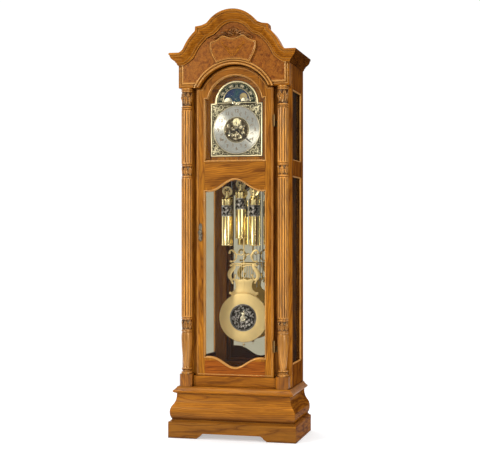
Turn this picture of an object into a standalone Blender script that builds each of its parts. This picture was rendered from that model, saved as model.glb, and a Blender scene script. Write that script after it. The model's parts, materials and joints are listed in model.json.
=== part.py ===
"""Longcase (grandfather) clock: oak case, glazed door, weight-driven movement and pendulum.

Metres, +Z up, front faces -Y. The origin is on the floor under the middle of the clock.
"""
import math

import bmesh
import bpy
from mathutils import Matrix, Vector

# ---- driving dimensions ---------------------------------------------------------------------
GAP = 0.0003                  # running gap between neighbouring solids
HALF_DEPTH = 0.2025           # half the overall depth, at plinth and cornice
BACK_Y = HALF_DEPTH

PLINTH_HALF_WIDTH = 0.3385
PLINTH_TOP = 0.095
FOOT_CUT_HEIGHT = 0.0275      # height of the cut-out between the bracket feet
BOMBE_INNER = 0.285           # inside face of the swelling base boards
BOMBE_TOP = 0.2277
DECK_TOP = 0.264              # top of the moulded waist board
CASE_FLOOR = DECK_TOP + GAP

CASE_HALF_WIDTH = 0.2955
SIDE_THICKNESS = 0.020
CASE_TOP = 1.985
FACE_FRONT = -0.1035          # front plane of the face frame
FACE_BACK = -0.0835
BACK_PANEL_FRONT = 0.178
GLASS = 0.003

COLUMN_X = 0.257
COLUMN_Y = -0.134
COLUMN_RADIUS = 0.0275
COLUMN_RING = 0.0298
PEDESTAL_TOP = 0.3275
CAPITAL_BOTTOM = 1.7162

DOOR_HALF_WIDTH = 0.206
DOOR_FRONT = -0.130
DOOR_BACK = -0.106
DOOR_BOTTOM = 0.320
DOOR_SHOULDER = 1.815
DIAL_WINDOW_Z = 1.735         # centre of the round head of the dial opening
DIAL_WINDOW_RADIUS = 0.1465
DIAL_WINDOW_SHOULDER = 1.762
WINDOW_HALF_WIDTH = 0.161
REBATE = 0.012                # how far each glass laps behind its opening
REBATE_FRONT = -0.116
HINGE_X = 0.2125
HINGE_Y = -0.142
HINGE_HEIGHTS = {"lower": 0.480, "upper": 1.640}
LOCK_X = -0.184
LOCK_Z = 1.066

PEDIMENT_FRONT = -0.158
PEDIMENT_BACK = -0.128
PEDIMENT_BOTTOM = 1.818
PEDIMENT_HALF_WIDTH = 0.2945
ARCH_CENTRE_Z = 1.7275        # centre shared by the pediment arch and the door head
ARCH_RADIUS = 0.2065
TRIM_RADIUS = 0.2310          # outside of the raised trim round the arch
DOOR_HEAD_RADIUS = 0.198
CROWN_FLAT_Z = 1.998          # top of the level part of the crown
CROWN_TOP_Z = 2.213

DIAL_Z = 1.601
DIAL_HALF = 0.140
DIAL_FRONT = -0.0895
DIAL_BACK = -0.0880
DIAL_ARCH_Z = 1.741
DIAL_ARCH_RADIUS = 0.1165
MOON_Z = 1.745
SECONDS_Z = 1.636
HOUR_ANGLE = math.radians(251)      # hands stand at 8:22
MINUTE_ANGLE = math.radians(131)

SEAT_BOTTOM = 1.400
SEAT_TOP = 1.420
DRUM_Z = 1.550
DRUM_RADIUS = 0.0235
CABLE_RADIUS = 0.0007
CABLE_OFFSET = 0.0245         # cable centre line to pulley and drum centre
ANCHOR_Z = 1.445
WEIGHT_RADIUS = 0.030
WEIGHT_HEIGHT = 0.246
PULLEY_RISE = 0.041           # pulley centre above the top of its weight
WEIGHTS = {"left": (-0.074, 1.243), "centre": (0.0, 1.280), "right": (0.074, 1.243)}

PENDULUM_Y = 0.064
PENDULUM_PIVOT_Z = 1.500
BOB_Z = 0.611
BOB_RADIUS = 0.1325

# colour, roughness, metallic
FINISHES = {
    "oak": ((0.56, 0.26, 0.07), 0.35, 0.0),
    "oak_dark": ((0.36, 0.14, 0.04), 0.40, 0.0),
    "burl": ((0.52, 0.20, 0.05), 0.30, 0.0),
    "brass": ((0.86, 0.65, 0.26), 0.22, 1.0),
    "antique": ((0.23, 0.18, 0.12), 0.50, 1.0),
    "steel": ((0.62, 0.63, 0.65), 0.30, 1.0),
    "mirror": ((0.86, 0.87, 0.88), 0.03, 1.0),
    "glass": ((0.92, 0.96, 0.95), 0.03, 0.0),
    "enamel": ((0.06, 0.09, 0.22), 0.35, 0.0),
    "black": ((0.02, 0.02, 0.02), 0.35, 0.0),
}


# ---- object helpers -------------------------------------------------------------------------
def clear_scene():
    for item in list(bpy.data.objects):
        bpy.data.objects.remove(item, do_unlink=True)


def finish_material(name, finish):
    colour, roughness, metallic = FINISHES[finish]
    material = bpy.data.materials.new(name)
    material.use_nodes = True
    shader = material.node_tree.nodes["Principled BSDF"]
    shader.inputs["Base Color"].default_value = (*colour, 1.0)
    shader.inputs["Roughness"].default_value = roughness
    shader.inputs["Metallic"].default_value = metallic
    if finish == "glass":
        shader.inputs["Transmission Weight"].default_value = 1.0
    return material


def add_object(name, shape, finish=None):
    """Turn a bmesh into an object; without a finish it is only a cutter or a joining guide."""
    bmesh.ops.recalc_face_normals(shape, faces=shape.faces)
    mesh = bpy.data.meshes.new(name)
    shape.to_mesh(mesh)
    shape.free()
    mesh.shade_smooth()
    mesh.set_sharp_from_angle(angle=math.radians(32))
    item = bpy.data.objects.new(name, mesh)
    bpy.context.scene.collection.objects.link(item)
    if finish:
        mesh.materials.append(finish_material(name, finish))
    else:
        item.hide_render = True
        item.display_type = "WIRE"
    return item


def combine(target, tool, operation):
    modifier = target.modifiers.new(f"{operation.title()} {tool.name}", "BOOLEAN")
    modifier.operation = operation
    modifier.solver = "EXACT"
    modifier.object = tool


def cut(target, *tools):
    for tool in tools:
        combine(target, tool, "DIFFERENCE")


def join(target, *tools):
    for tool in tools:
        combine(target, tool, "UNION")


def hang_on(item, pivot, parent=None):
    """Put the origin of a moving piece on its joint axis and parent it."""
    pivot = Vector(pivot)
    item.data.transform(Matrix.Translation(-pivot))
    item.location = pivot
    if parent:
        item.parent = parent
        item.location = pivot - parent.location


def joint_empty(name, position):
    empty = bpy.data.objects.new(name, None)
    empty.location = position
    empty.empty_display_size = 0.03
    bpy.context.scene.collection.objects.link(empty)
    return empty


# ---- shape helpers --------------------------------------------------------------------------
def block(low, high):
    shape = bmesh.new()
    bmesh.ops.create_cube(shape, size=1.0)
    low = Vector(low)
    high = Vector(high)
    for vertex in shape.verts:
        vertex.co = low + Vector(((vertex.co[i] + 0.5) * (high[i] - low[i]) for i in range(3)))
    return shape


def prism(outline, y_front, y_back):
    """An outline in X and Z, extruded along Y."""
    shape = bmesh.new()
    front = [shape.verts.new((x, y_front, z)) for x, z in outline]
    face = shape.faces.new(front)
    extruded = bmesh.ops.extrude_face_region(shape, geom=[face])
    moved = [v for v in extruded["geom"] if isinstance(v, bmesh.types.BMVert)]
    bmesh.ops.translate(shape, verts=moved, vec=(0, y_back - y_front, 0))
    return shape


def upright(plan, z0, z1):
    """Solid between two heights over an outline drawn in plan."""
    shape = bmesh.new()
    face = shape.faces.new([shape.verts.new((x, y, z0)) for x, y in plan])
    extruded = bmesh.ops.extrude_face_region(shape, geom=[face])
    moved = [v for v in extruded["geom"] if isinstance(v, bmesh.types.BMVert)]
    bmesh.ops.translate(shape, verts=moved, vec=(0, 0, z1 - z0))
    return shape


def lathe(profile, centre, axis="Z", segments=16, ring=False):
    """Turn a profile of (radius, height) about a Z or Y axis through centre.

    A ring's profile is a closed loop; otherwise flat faces close both ends.
    """
    shape = bmesh.new()
    loops = []
    for radius, height in profile:
        loop = []
        for step in range(segments):
            angle = 2 * math.pi * (step + 0.5) / segments
            across = radius * math.cos(angle)
            along = radius * math.sin(angle)
            if axis == "Z":
                place = (centre[0] + across, centre[1] + along, height)
            else:
                place = (centre[0] + across, height, centre[1] + along)
            loop.append(shape.verts.new(place))
        loops.append(loop)
    pairs = list(zip(loops, loops[1:]))
    if ring:
        pairs.append((loops[-1], loops[0]))
    else:
        shape.faces.new(loops[0])
        shape.faces.new(loops[-1])
    for lower, upper in pairs:
        for step in range(segments):
            nxt = (step + 1) % segments
            shape.faces.new((lower[step], lower[nxt], upper[nxt], upper[step]))
    return shape


def smooth_curve(points, steps):
    """A Catmull-Rom curve through the points, with this many steps between each two."""
    padded = [points[0], *points, points[-1]]
    curve = []
    for a, b, c, d in zip(padded, padded[1:], padded[2:], padded[3:]):
        for step in range(steps):
            t = step / steps
            curve.append(tuple(
                0.5 * (2 * b[i] + (c[i] - a[i]) * t
                       + (2 * a[i] - 5 * b[i] + 4 * c[i] - d[i]) * t * t
                       + (3 * b[i] - a[i] - 3 * c[i] + d[i]) * t ** 3)
                for i in range(len(b))))
    curve.append(tuple(points[-1]))
    return curve


def arc(centre_z, radius, start, end, steps, centre_x=0.0):
    """Points on a circle in X and Z; angles in radians from +X towards +Z."""
    angles = (start + (end - start) * step / steps for step in range(steps + 1))
    return [(centre_x + radius * math.cos(a), centre_z + radius * math.sin(a)) for a in angles]


def mirrored(half):
    """Complete an outline whose right half is given from bottom to top."""
    return half + [(-x, z) for x, z in reversed(half) if x > 1e-6]


def ribbon(centre_line, half_width):
    """Outline of a strip of even width along a centre line in X and Z."""
    left = []
    right = []
    for index, point in enumerate(centre_line):
        before = Vector(centre_line[max(index - 1, 0)])
        after = Vector(centre_line[min(index + 1, len(centre_line) - 1)])
        along = (after - before).normalized()
        across = Vector((-along.y, along.x)) * half_width
        left.append(tuple(Vector(point) + across))
        right.append(tuple(Vector(point) - across))
    return left + right[::-1]


def mitred_board(profile, side, setback):
    """A moulded board on one side of the case, mitred at the front corners.

    Each profile point is (half width of the case there, height). The front plane lies
    setback nearer the middle than the half width does.
    """
    shape = bmesh.new()
    ends = []
    for end in (-1, 1):
        loop = []
        for width, height in profile:
            front_y = setback - width
            if side == "front":
                place = (end * (width - GAP), front_y, height)
            elif end < 0:
                place = (side * width, front_y + GAP, height)
            else:
                place = (side * width, BACK_Y, height)
            loop.append(shape.verts.new(place))
        ends.append(loop)
        shape.faces.new(loop)
    count = len(profile)
    for index in range(count):
        nxt = (index + 1) % count
        shape.faces.new((ends[0][index], ends[0][nxt], ends[1][nxt], ends[1][index]))
    return shape


SIDES = {"front": "front", "left": -1, "right": 1}


# ---- base -----------------------------------------------------------------------------------
BASE_SETBACK = PLINTH_HALF_WIDTH - HALF_DEPTH


def build_plinth():
    inner = 0.300
    profile = [(inner, 0), (PLINTH_HALF_WIDTH, 0), (PLINTH_HALF_WIDTH, 0.083),
               (0.3265, 0.0895), (0.3225, PLINTH_TOP), (inner, PLINTH_TOP)]
    for word, side in SIDES.items():
        board = add_object(f"plinth_{word}", mitred_board(profile, side, BASE_SETBACK), "oak")
        if word == "front":
            ogee = smooth_curve([(0.187, -0.01), (0.184, 0.003), (0.172, 0.010),
                                 (0.163, 0.021), (0.150, FOOT_CUT_HEIGHT)], 3)
            feet = prism(mirrored(ogee), -0.22, -0.15)
            cut(board, add_object("foot_cutter", feet))
    back = block((-BOMBE_INNER + GAP, 0.184, 0.030), (BOMBE_INNER - GAP, BACK_Y, BOMBE_TOP - GAP))
    add_object("base_back", back, "oak_dark")


def build_bombe():
    swell = smooth_curve([(0.3215, PLINTH_TOP + GAP), (0.3295, 0.113), (0.3320, 0.137),
                          (0.3255, 0.160), (0.3120, 0.179), (0.3040, 0.200),
                          (0.3020, BOMBE_TOP)], 3)
    profile = [(BOMBE_INNER, PLINTH_TOP + GAP), *swell, (BOMBE_INNER, BOMBE_TOP)]
    for word, side in SIDES.items():
        add_object(f"bombe_{word}", mitred_board(profile, side, BASE_SETBACK), "oak")


def build_waist_deck():
    """A solid board whose front and side edges carry the waist moulding."""
    edge = [(0.3030, BOMBE_TOP + GAP), (0.3120, 0.2315), (0.3200, 0.2370), (0.3200, 0.2430),
            (0.3120, 0.2490), (0.3040, 0.2570), (0.2995, DECK_TOP)]
    shape = bmesh.new()
    rows = []
    for width, height in edge:
        front_y = BASE_SETBACK - width
        corners = ((-width, front_y), (width, front_y), (width, BACK_Y), (-width, BACK_Y))
        rows.append([shape.verts.new((x, y, height)) for x, y in corners])
    shape.faces.new(rows[0])
    shape.faces.new(rows[-1])
    for lower, upper in zip(rows, rows[1:]):
        for index in range(4):
            nxt = (index + 1) % 4
            shape.faces.new((lower[index], lower[nxt], upper[nxt], upper[index]))
    add_object("waist_deck", shape, "oak")


# ---- case -----------------------------------------------------------------------------------
def head_outline(half_width, bottom, shoulder, radius, centre_z, steps=16):
    """A rectangle under a round head that springs from its shoulders."""
    start = math.asin((shoulder - centre_z) / radius)
    curve = arc(centre_z, radius, start, math.pi / 2, steps)
    return mirrored([(half_width, bottom), (half_width, shoulder), *curve])


def build_face_frame():
    plan = [(CASE_HALF_WIDTH, FACE_BACK), (CASE_HALF_WIDTH, -0.0880), (0.2800, FACE_FRONT)]
    plan += [(-x, y) for x, y in reversed(plan)]
    frame = add_object("face_frame", upright(plan, CASE_FLOOR, CASE_TOP), "oak")
    opening = head_outline(0.196, 0.330, 1.803, 0.186, ARCH_CENTRE_Z)
    cut(frame, add_object("doorway_cutter", prism(opening, -0.15, -0.05)))
    mask_outline = head_outline(0.205, 1.430, 1.811, 0.195, ARCH_CENTRE_Z)
    mask = add_object("dial_mask", prism(mask_outline, -0.0872, FACE_BACK - 0.0003))
    hole = head_outline(0.128, 1.473, DIAL_ARCH_Z, 0.105, DIAL_ARCH_Z)
    rail_low = (-0.2215, DOOR_FRONT, CASE_FLOOR)
    rail = add_object("front_rail", block(rail_low, (0.2215, -0.095, DOOR_BOTTOM - 0.0025)))
    join(frame, mask, rail)
    cut(frame, add_object("mask_cutter", prism(hole, -0.11, -0.05)))


def build_sides():
    """Side frames with two windows each, and one pane a side let into their inner faces."""
    inner = CASE_HALF_WIDTH - SIDE_THICKNESS
    rebate = 0.008
    windows = {"low": (0.380, 1.360), "high": (1.440, 1.808)}
    for word, sign in (("left", -1), ("right", 1)):
        xs = sorted((sign * inner, sign * CASE_HALF_WIDTH))
        side = block((xs[0], FACE_BACK + GAP, CASE_FLOOR), (xs[1], BACK_Y, CASE_TOP))
        frame = add_object(f"side_frame_{word}", side, "oak_dark")
        for place, (bottom, top) in windows.items():
            hole = block((xs[0] - 0.01, -0.072, bottom), (xs[1] + 0.01, 0.164, top))
            cut(frame, add_object(f"side_window_{place}_{word}", hole))
        low = (-0.0795, 0.360)
        high = (0.1715, 1.828)
        xs = sorted((sign * (inner - 0.01), sign * (inner + rebate)))
        groove = block((xs[0], low[0], low[1]), (xs[1], high[0], high[1]))
        cut(frame, add_object(f"pane_rebate_{word}", groove))
        outer = inner + rebate - GAP
        xs = sorted((sign * outer, sign * (outer - GLASS)))
        pane = block((xs[0], low[0] + GAP, low[1] + GAP), (xs[1], high[0] - GAP, high[1] - GAP))
        add_object(f"side_glass_{word}", pane, "glass")


def build_back():
    half = CASE_HALF_WIDTH - SIDE_THICKNESS - GAP
    panel = block((-half, BACK_PANEL_FRONT, CASE_FLOOR), (half, 0.190, 1.9597))
    add_object("back_panel", panel, "oak_dark")
    glass_back = BACK_PANEL_FRONT - GAP
    mirror = block((-0.262, glass_back - 0.004, 0.275), (0.262, glass_back, 1.380))
    add_object("back_mirror", mirror, "mirror")
    roof = block((-half, FACE_BACK + GAP, 1.960), (half, 0.190, 1.978))
    add_object("roof_board", roof, "oak_dark")


def build_columns():
    ring = COLUMN_RING
    shaft = COLUMN_RADIUS
    turned = [(ring, PEDESTAL_TOP + GAP), (ring, 0.338), (0.0225, 0.346), (0.0225, 0.352),
              (0.0260, 0.357), (0.0260, 0.363), (0.0185, 0.370)]
    turned += smooth_curve([(0.0180, 0.376), (0.0225, 0.420), (0.0272, 0.475),
                            (0.0288, 0.515), (0.0262, 0.545)], 2)
    turned += [(ring, 0.549), (ring, 0.557), (0.0272, 0.561), (0.0272, 0.609), (ring, 0.613),
               (ring, 0.620), (shaft, 0.624), (shaft, 1.349), (ring, 1.352), (ring, 1.359),
               (0.0278, 1.362), (0.0278, 1.410), (ring, 1.413), (ring, 1.420),
               (shaft, 1.423), (shaft, 1.705), (ring, 1.708), (ring, CAPITAL_BOTTOM - GAP)]
    bell = [(0.0262, CAPITAL_BOTTOM), (0.0262, 1.722), (0.0232, 1.728), (0.0240, 1.750),
            (0.0270, 1.778), (ring, 1.791), (ring, 1.799), (0.0280, 1.802),
            (ring, 1.805), (ring, PEDIMENT_BOTTOM - GAP)]
    cant = 0.008
    for word, sign in (("left", -1), ("right", 1)):
        x = sign * COLUMN_X
        half = 0.0325
        front = -0.1625
        back = FACE_FRONT - GAP
        plan = [(x - half + cant, front), (x + half - cant, front), (x + half, front + cant),
                (x + half, back), (x - half, back), (x - half, front + cant)]
        pedestal = upright(plan, CASE_FLOOR, PEDESTAL_TOP)
        add_object(f"column_pedestal_{word}", pedestal, "oak")
        add_object(f"column_shaft_{word}", lathe(turned, (x, COLUMN_Y)), "oak")
        add_object(f"column_capital_{word}", lathe(bell, (x, COLUMN_Y)), "oak")


# ---- pediment and crown ---------------------------------------------------------------------
def crown_outline():
    """Right half of the crown's outer edge, from the corner to the top of the crest."""
    corner = [(0.3365, CROWN_FLAT_Z)]
    swoop = smooth_curve([(0.2810, CROWN_FLAT_Z), (0.2620, 2.0120), (0.2470, 2.0405),
                          (0.2250, 2.0740), (0.1945, 2.1060)], 2)
    shoulder = [(0.1925, 2.1290), (0.1600, 2.1335), (0.1340, 2.1440)]
    radius = 0.1597
    centre_z = CROWN_TOP_Z - radius
    start = math.asin((shoulder[-1][1] - centre_z) / radius)
    crest = arc(centre_z, radius, start + 0.06, math.pi / 2, 9)
    return corner + swoop + shoulder + crest


def inward_normals(outline):
    """Mitre vectors pointing into the shape at each point of an open outline."""
    vectors = []
    for index, point in enumerate(outline):
        here = Vector(point)
        before = (here - Vector(outline[index - 1])).normalized() if index else None
        after = None
        if index + 1 < len(outline):
            after = (Vector(outline[index + 1]) - here).normalized()
        before = before or after
        after = after or before
        normals = [Vector((-d.y, d.x)) for d in (before, after)]
        middle = (normals[0] + normals[1]).normalized()
        vectors.append(middle / middle.dot(normals[0]))
    return vectors


# distance in from the crown's outer edge, and the front plane there
CROWN_SECTION = [(0.0, -0.2025), (0.010, -0.2025), (0.0125, -0.1985), (0.019, -0.1975),
                 (0.028, -0.1930), (0.036, -0.1840), (0.042, -0.1760), (0.049, -0.1725),
                 (0.0515, -0.1690), (0.060, -0.1665), (0.0635, -0.1583)]
CORNICE_SETBACK = 0.3365 - HALF_DEPTH


def build_crown():
    half = crown_outline()
    outline = mirrored(half)
    normals = inward_normals(outline)
    section = [*CROWN_SECTION, (0.0, CROWN_SECTION[-1][1])]
    shape = bmesh.new()
    rows = []
    for index, (point, normal) in enumerate(zip(outline, normals)):
        row = []
        for inset, y in section:
            x = point[0] + normal[0] * inset
            z = point[1] + normal[1] * inset
            if index in (0, len(outline) - 1):
                x = math.copysign(CORNICE_SETBACK - y - GAP, point[0])
            row.append(shape.verts.new((x, y, z)))
        rows.append(row)
    shape.faces.new(rows[0])
    shape.faces.new(rows[-1])
    count = len(section)
    for here, there in zip(rows, rows[1:]):
        for index in range(count):
            nxt = (index + 1) % count
            shape.faces.new((here[index], here[nxt], there[nxt], there[index]))
    add_object("crown_moulding", shape, "oak")
    inner = CASE_HALF_WIDTH + GAP
    profile = [(CORNICE_SETBACK - y, CROWN_FLAT_Z - inset) for inset, y in CROWN_SECTION[:-1]]
    profile += [(inner, CROWN_FLAT_Z - 0.0635), (inner, CROWN_FLAT_Z)]
    for word in ("left", "right"):
        cornice = mitred_board(profile, SIDES[word], CORNICE_SETBACK)
        add_object(f"cornice_{word}", cornice, "oak_dark")


def build_pediment():
    edge = 0.0008
    outline = crown_outline()[1:]
    normals = inward_normals(outline)
    crest = [(p[0] + n[0] * edge, p[1] + n[1] * edge) for p, n in zip(outline, normals)]
    crest[-1] = (0.0, CROWN_TOP_Z - edge)
    half = [(PEDIMENT_HALF_WIDTH, PEDIMENT_BOTTOM), (PEDIMENT_HALF_WIDTH, CROWN_FLAT_Z - edge)]
    board = add_object("pediment_board",
                       prism(mirrored(half + crest), PEDIMENT_FRONT, PEDIMENT_BACK), "oak")
    packing = block((-PEDIMENT_HALF_WIDTH, -0.140, PEDIMENT_BOTTOM),
                    (PEDIMENT_HALF_WIDTH, FACE_FRONT - GAP, 1.948))
    start = math.asin((PEDIMENT_BOTTOM - ARCH_CENTRE_Z) / TRIM_RADIUS)
    trim = mirrored(arc(ARCH_CENTRE_Z, TRIM_RADIUS, start, math.pi / 2, 14))
    join(board, add_object("frieze_packing", packing),
         add_object("arch_trim", prism(trim, -0.1655, -0.150)))
    start = math.asin((PEDIMENT_BOTTOM - 0.01 - ARCH_CENTRE_Z) / ARCH_RADIUS)
    arch_hole = mirrored(arc(ARCH_CENTRE_Z, ARCH_RADIUS, start, math.pi / 2, 16))
    cut(board, add_object("arch_cutter", prism(arch_hole, -0.20, -0.05)))


def build_shield():
    back = PEDIMENT_FRONT - GAP
    side = smooth_curve([(0.094, 1.9395), (0.099, 1.9700), (0.113, 2.0060), (0.121, 2.0500)], 3)
    top = smooth_curve([(0.1210, 2.0510), (0.0900, 2.0580), (0.0640, 2.0770), (0.0480, 2.0805),
                        (0.0250, 2.0720), (0.0, 2.0655)], 3)
    foot_radius = TRIM_RADIUS + 2 * GAP
    start = math.acos(0.080 / foot_radius)
    foot = arc(ARCH_CENTRE_Z, foot_radius, math.pi / 2, start, 5)
    half = foot + side + top
    shield = prism(half + [(-x, z) for x, z in reversed(half[1:]) if x > 1e-6], -0.1700, back)
    add_object("pediment_shield", shield, "burl")
    lobes = []
    count = 48
    for step in range(count + 1):
        angle = math.pi * step / count
        reach = 1 + 0.06 * abs(math.sin(3.5 * angle))
        lobes.append((0.031 * reach * math.cos(angle), 2.0905 + 0.033 * reach * math.sin(angle)))
    leaf = [(-0.045, 2.0890), (-0.060, 2.0880), (-0.082, 2.0780), (-0.104, 2.0700),
            (-0.096, 2.0655), (-0.074, 2.0770), (-0.052, 2.0830), (-0.026, 2.0800)]
    outline = lobes + leaf + [(-x, z) for x, z in reversed(leaf)]
    add_object("shell_carving", prism(outline, -0.1720, back), "oak_dark")


# ---- door -----------------------------------------------------------------------------------
def wave(x, span, sharpness):
    """1 in the middle, falling smoothly to 0 at span."""
    return 0.5 * (1 + math.cos(math.pi * min(abs(x) / span, 1.0) ** sharpness))


def trunk_window():
    """Tall window: ogee dip in its sill and a cathedral arch at its top."""
    steps = 22
    xs = [WINDOW_HALF_WIDTH * (2 * step / steps - 1) for step in range(steps + 1)]
    sill = [(x, 0.4175 - 0.0535 * wave(x, 0.136, 1.15)) for x in xs]
    top = [(x, 1.280 + 0.0610 * wave(x, 0.147, 1.20)) for x in reversed(xs)]
    return sill + top


def dial_window(grow=0.0):
    """Dial opening: square shoulders under a round arch."""
    radius = DIAL_WINDOW_RADIUS + grow
    shoulder = DIAL_WINDOW_SHOULDER + grow
    start = math.asin((shoulder - DIAL_WINDOW_Z) / radius)
    half = [(WINDOW_HALF_WIDTH + grow, 1.440 - grow), (WINDOW_HALF_WIDTH + grow, shoulder)]
    return mirrored(half + arc(DIAL_WINDOW_Z, radius, start, math.pi / 2, 14))


def build_door(axis):
    outline = head_outline(DOOR_HALF_WIDTH, DOOR_BOTTOM, DOOR_SHOULDER, DOOR_HEAD_RADIUS,
                           ARCH_CENTRE_Z)
    frame = add_object("door_frame", prism(outline, DOOR_FRONT, DOOR_BACK), "oak")
    half = WINDOW_HALF_WIDTH + REBATE
    low = 0.352
    high = 1.353
    lock_hole = lathe([(0.0036, -0.14), (0.0036, -0.09)], (LOCK_X, LOCK_Z), "Y", 12)
    cut(frame,
        add_object("trunk_window_cutter", prism(trunk_window(), -0.14, -0.09)),
        add_object("dial_window_cutter", prism(dial_window(), -0.14, -0.09)),
        add_object("trunk_rebate_cutter", block((-half, REBATE_FRONT, low), (half, -0.09, high))),
        add_object("dial_rebate_cutter", prism(dial_window(REBATE), REBATE_FRONT, -0.09)),
        add_object("lock_hole_cutter", lock_hole))
    glass_front = REBATE_FRONT + GAP
    glass_back = glass_front + GLASS
    trunk = block((-half + GAP, glass_front, low + GAP), (half - GAP, glass_back, high - GAP))
    pieces = [frame, add_object("trunk_glass", trunk, "glass"),
              add_object("dial_glass",
                         prism(dial_window(REBATE - GAP), glass_front, glass_back), "glass")]
    waist = [(0.0, -0.048), (0.006, -0.040), (0.004, -0.030), (0.009, -0.018), (0.0085, -0.006),
             (0.0095, 0.006), (0.006, 0.018), (0.0095, 0.028), (0.004, 0.038), (0.0, 0.048)]
    right = [(LOCK_X + x, LOCK_Z + z) for x, z in smooth_curve(waist, 2)]
    left = [(2 * LOCK_X - x, z) for x, z in reversed(right[1:-1])]
    plate = add_object("escutcheon",
                       prism(right + left, DOOR_FRONT - 0.0025, DOOR_FRONT - GAP), "antique")
    plate_hole = lathe([(0.0036, -0.14), (0.0036, -0.12)], (LOCK_X, LOCK_Z), "Y", 12)
    cut(plate, add_object("keyhole_cutter", plate_hole))
    pieces.append(plate)
    for piece in pieces:
        hang_on(piece, axis.location, axis)
    build_lock(axis)
    build_hinges(axis)


def build_lock(axis):
    """Key, shank and cam. At rest the cam stands upright and the door is free."""
    shank = [(0.0030, -0.146), (0.0030, -0.0805)]
    key = add_object("lock_key", lathe(shank, (LOCK_X, LOCK_Z), "Y", 12), "antique")
    bow = lathe([(0.0035, -0.1485), (0.0100, -0.1485), (0.0100, -0.1455), (0.0035, -0.1455)],
                (LOCK_X, LOCK_Z), "Y", 16)
    cam = block((LOCK_X - 0.004, -0.0830, LOCK_Z - 0.004), (LOCK_X + 0.004, -0.0805, LOCK_Z + 0.032))
    join(key, add_object("key_bow", bow), add_object("lock_cam", cam))
    hang_on(key, (LOCK_X, DOOR_FRONT, LOCK_Z), axis)


def build_hinges(axis):
    barrel = 0.005
    pin = 0.0020
    bore = 0.0023
    knuckle = 0.030
    for word, height in HINGE_HEIGHTS.items():
        centre = (HINGE_X, HINGE_Y)
        pin_profile = [(barrel, height - knuckle), (barrel, height), (pin, height),
                       (pin, height + knuckle)]
        case_leaf = add_object(f"hinge_case_{word}", lathe(pin_profile, centre, "Z", 12), "brass")
        web = block((HINGE_X - 0.0012, HINGE_Y + 0.003, height - knuckle),
                    (HINGE_X + 0.0012, FACE_FRONT - GAP, height))
        foot = block((HINGE_X - 0.0012, FACE_FRONT - 0.0018, height - knuckle),
                     (HINGE_X + 0.0125, FACE_FRONT - GAP, height))
        join(case_leaf, add_object(f"hinge_web_{word}", web),
             add_object(f"hinge_foot_{word}", foot))
        tube = [(bore, height + GAP), (barrel, height + GAP), (barrel, height + knuckle),
                (bore, height + knuckle)]
        door_leaf = add_object(f"hinge_door_{word}", lathe(tube, centre, "Z", 12, ring=True),
                               "brass")
        plate = block((DOOR_HALF_WIDTH + GAP, HINGE_Y - 0.001, height + GAP),
                      (DOOR_HALF_WIDTH + 0.0026, DOOR_BACK - 0.002, height + knuckle))
        join(door_leaf, add_object(f"hinge_plate_{word}", plate))
        hang_on(door_leaf, (HINGE_X, HINGE_Y, height), axis)


# ---- movement and dial ----------------------------------------------------------------------
def rod_y(name, x, z, radius, y_front, y_back, segments=10):
    return add_object(name, lathe([(radius, y_front), (radius, y_back)], (x, z), "Y", segments))


def build_seat_board():
    half = CASE_HALF_WIDTH - SIDE_THICKNESS - GLASS - 0.001
    board = add_object("seat_board", block((-half, -0.079, SEAT_BOTTOM), (half, 0.050, SEAT_TOP)),
                       "oak_dark")
    cut(board, add_object("cable_slot", block((-0.112, -0.012, 1.39), (0.112, 0.006, 1.43))))


def build_movement():
    half = 0.106
    bottom = SEAT_TOP + GAP
    top = 1.640
    plates = add_object("movement_frame", block((-half, -0.0475, bottom), (half, -0.0445, top)),
                        "brass")
    tools = [add_object("back_plate", block((-half, 0.0285, bottom), (half, 0.0315, top))),
             add_object("moon_bracket", block((-0.012, -0.0475, top - 0.02), (0.012, -0.0445, 1.765)))]
    for side in (-1, 1):
        for z in (1.432, 1.628):
            tools.append(rod_y(f"pillar_{side}_{z}", side * 0.088, z, 0.005, -0.046, 0.030))
        for z in (1.485, 1.620):
            tools.append(rod_y(f"dial_foot_{side}_{z}", side * 0.100, z, 0.003, DIAL_BACK + GAP,
                               -0.046))
    for word, (x, _) in WEIGHTS.items():
        for end, sign in (("anchor", 1), ("guide", -1)):
            bar_x = x + sign * CABLE_OFFSET
            tools.append(add_object(f"cable_{end}_{word}", block(
                (bar_x - 0.004, -0.046, ANCHOR_Z), (bar_x + 0.004, 0.030, ANCHOR_Z + 0.008))))
        lead = lathe([(CABLE_RADIUS, ANCHOR_Z + 0.004), (CABLE_RADIUS, DRUM_Z)],
                     (x - CABLE_OFFSET, 0.0), "Z", 8)
        tools.append(add_object(f"cable_lead_{word}", lead))
    tools.append(rod_y("suspension_pin", 0.0, PENDULUM_PIVOT_Z, 0.0020, 0.030, 0.0700))
    join(plates, *tools)
    holes = [rod_y(f"drum_bore_{word}", x, DRUM_Z, 0.0040, -0.06, -0.04)
             for word, (x, _) in WEIGHTS.items()]
    holes += [rod_y(f"drum_back_bore_{word}", x, DRUM_Z, 0.0040, 0.02, 0.04)
              for word, (x, _) in WEIGHTS.items()]
    holes.append(rod_y("centre_bore", 0.0, DIAL_Z, 0.0040, -0.06, -0.04))
    holes.append(rod_y("seconds_bore", 0.0, SECONDS_Z, 0.0018, -0.06, -0.04))
    holes.append(rod_y("moon_bore", 0.0, MOON_Z, 0.0024, -0.06, -0.04))
    cut(plates, *holes)


def moon_window():
    """Half disc over two round humps that hide the waxing and waning moon."""
    base = MOON_Z + 0.003
    outer = arc(base, 0.072, 0.0, math.pi, 20)
    left_hump = arc(base, 0.0225, math.pi, 0.0, 8, -0.0450)
    right_hump = arc(base, 0.0225, math.pi, 0.0, 8, 0.0450)
    return outer + left_hump + right_hump


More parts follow.
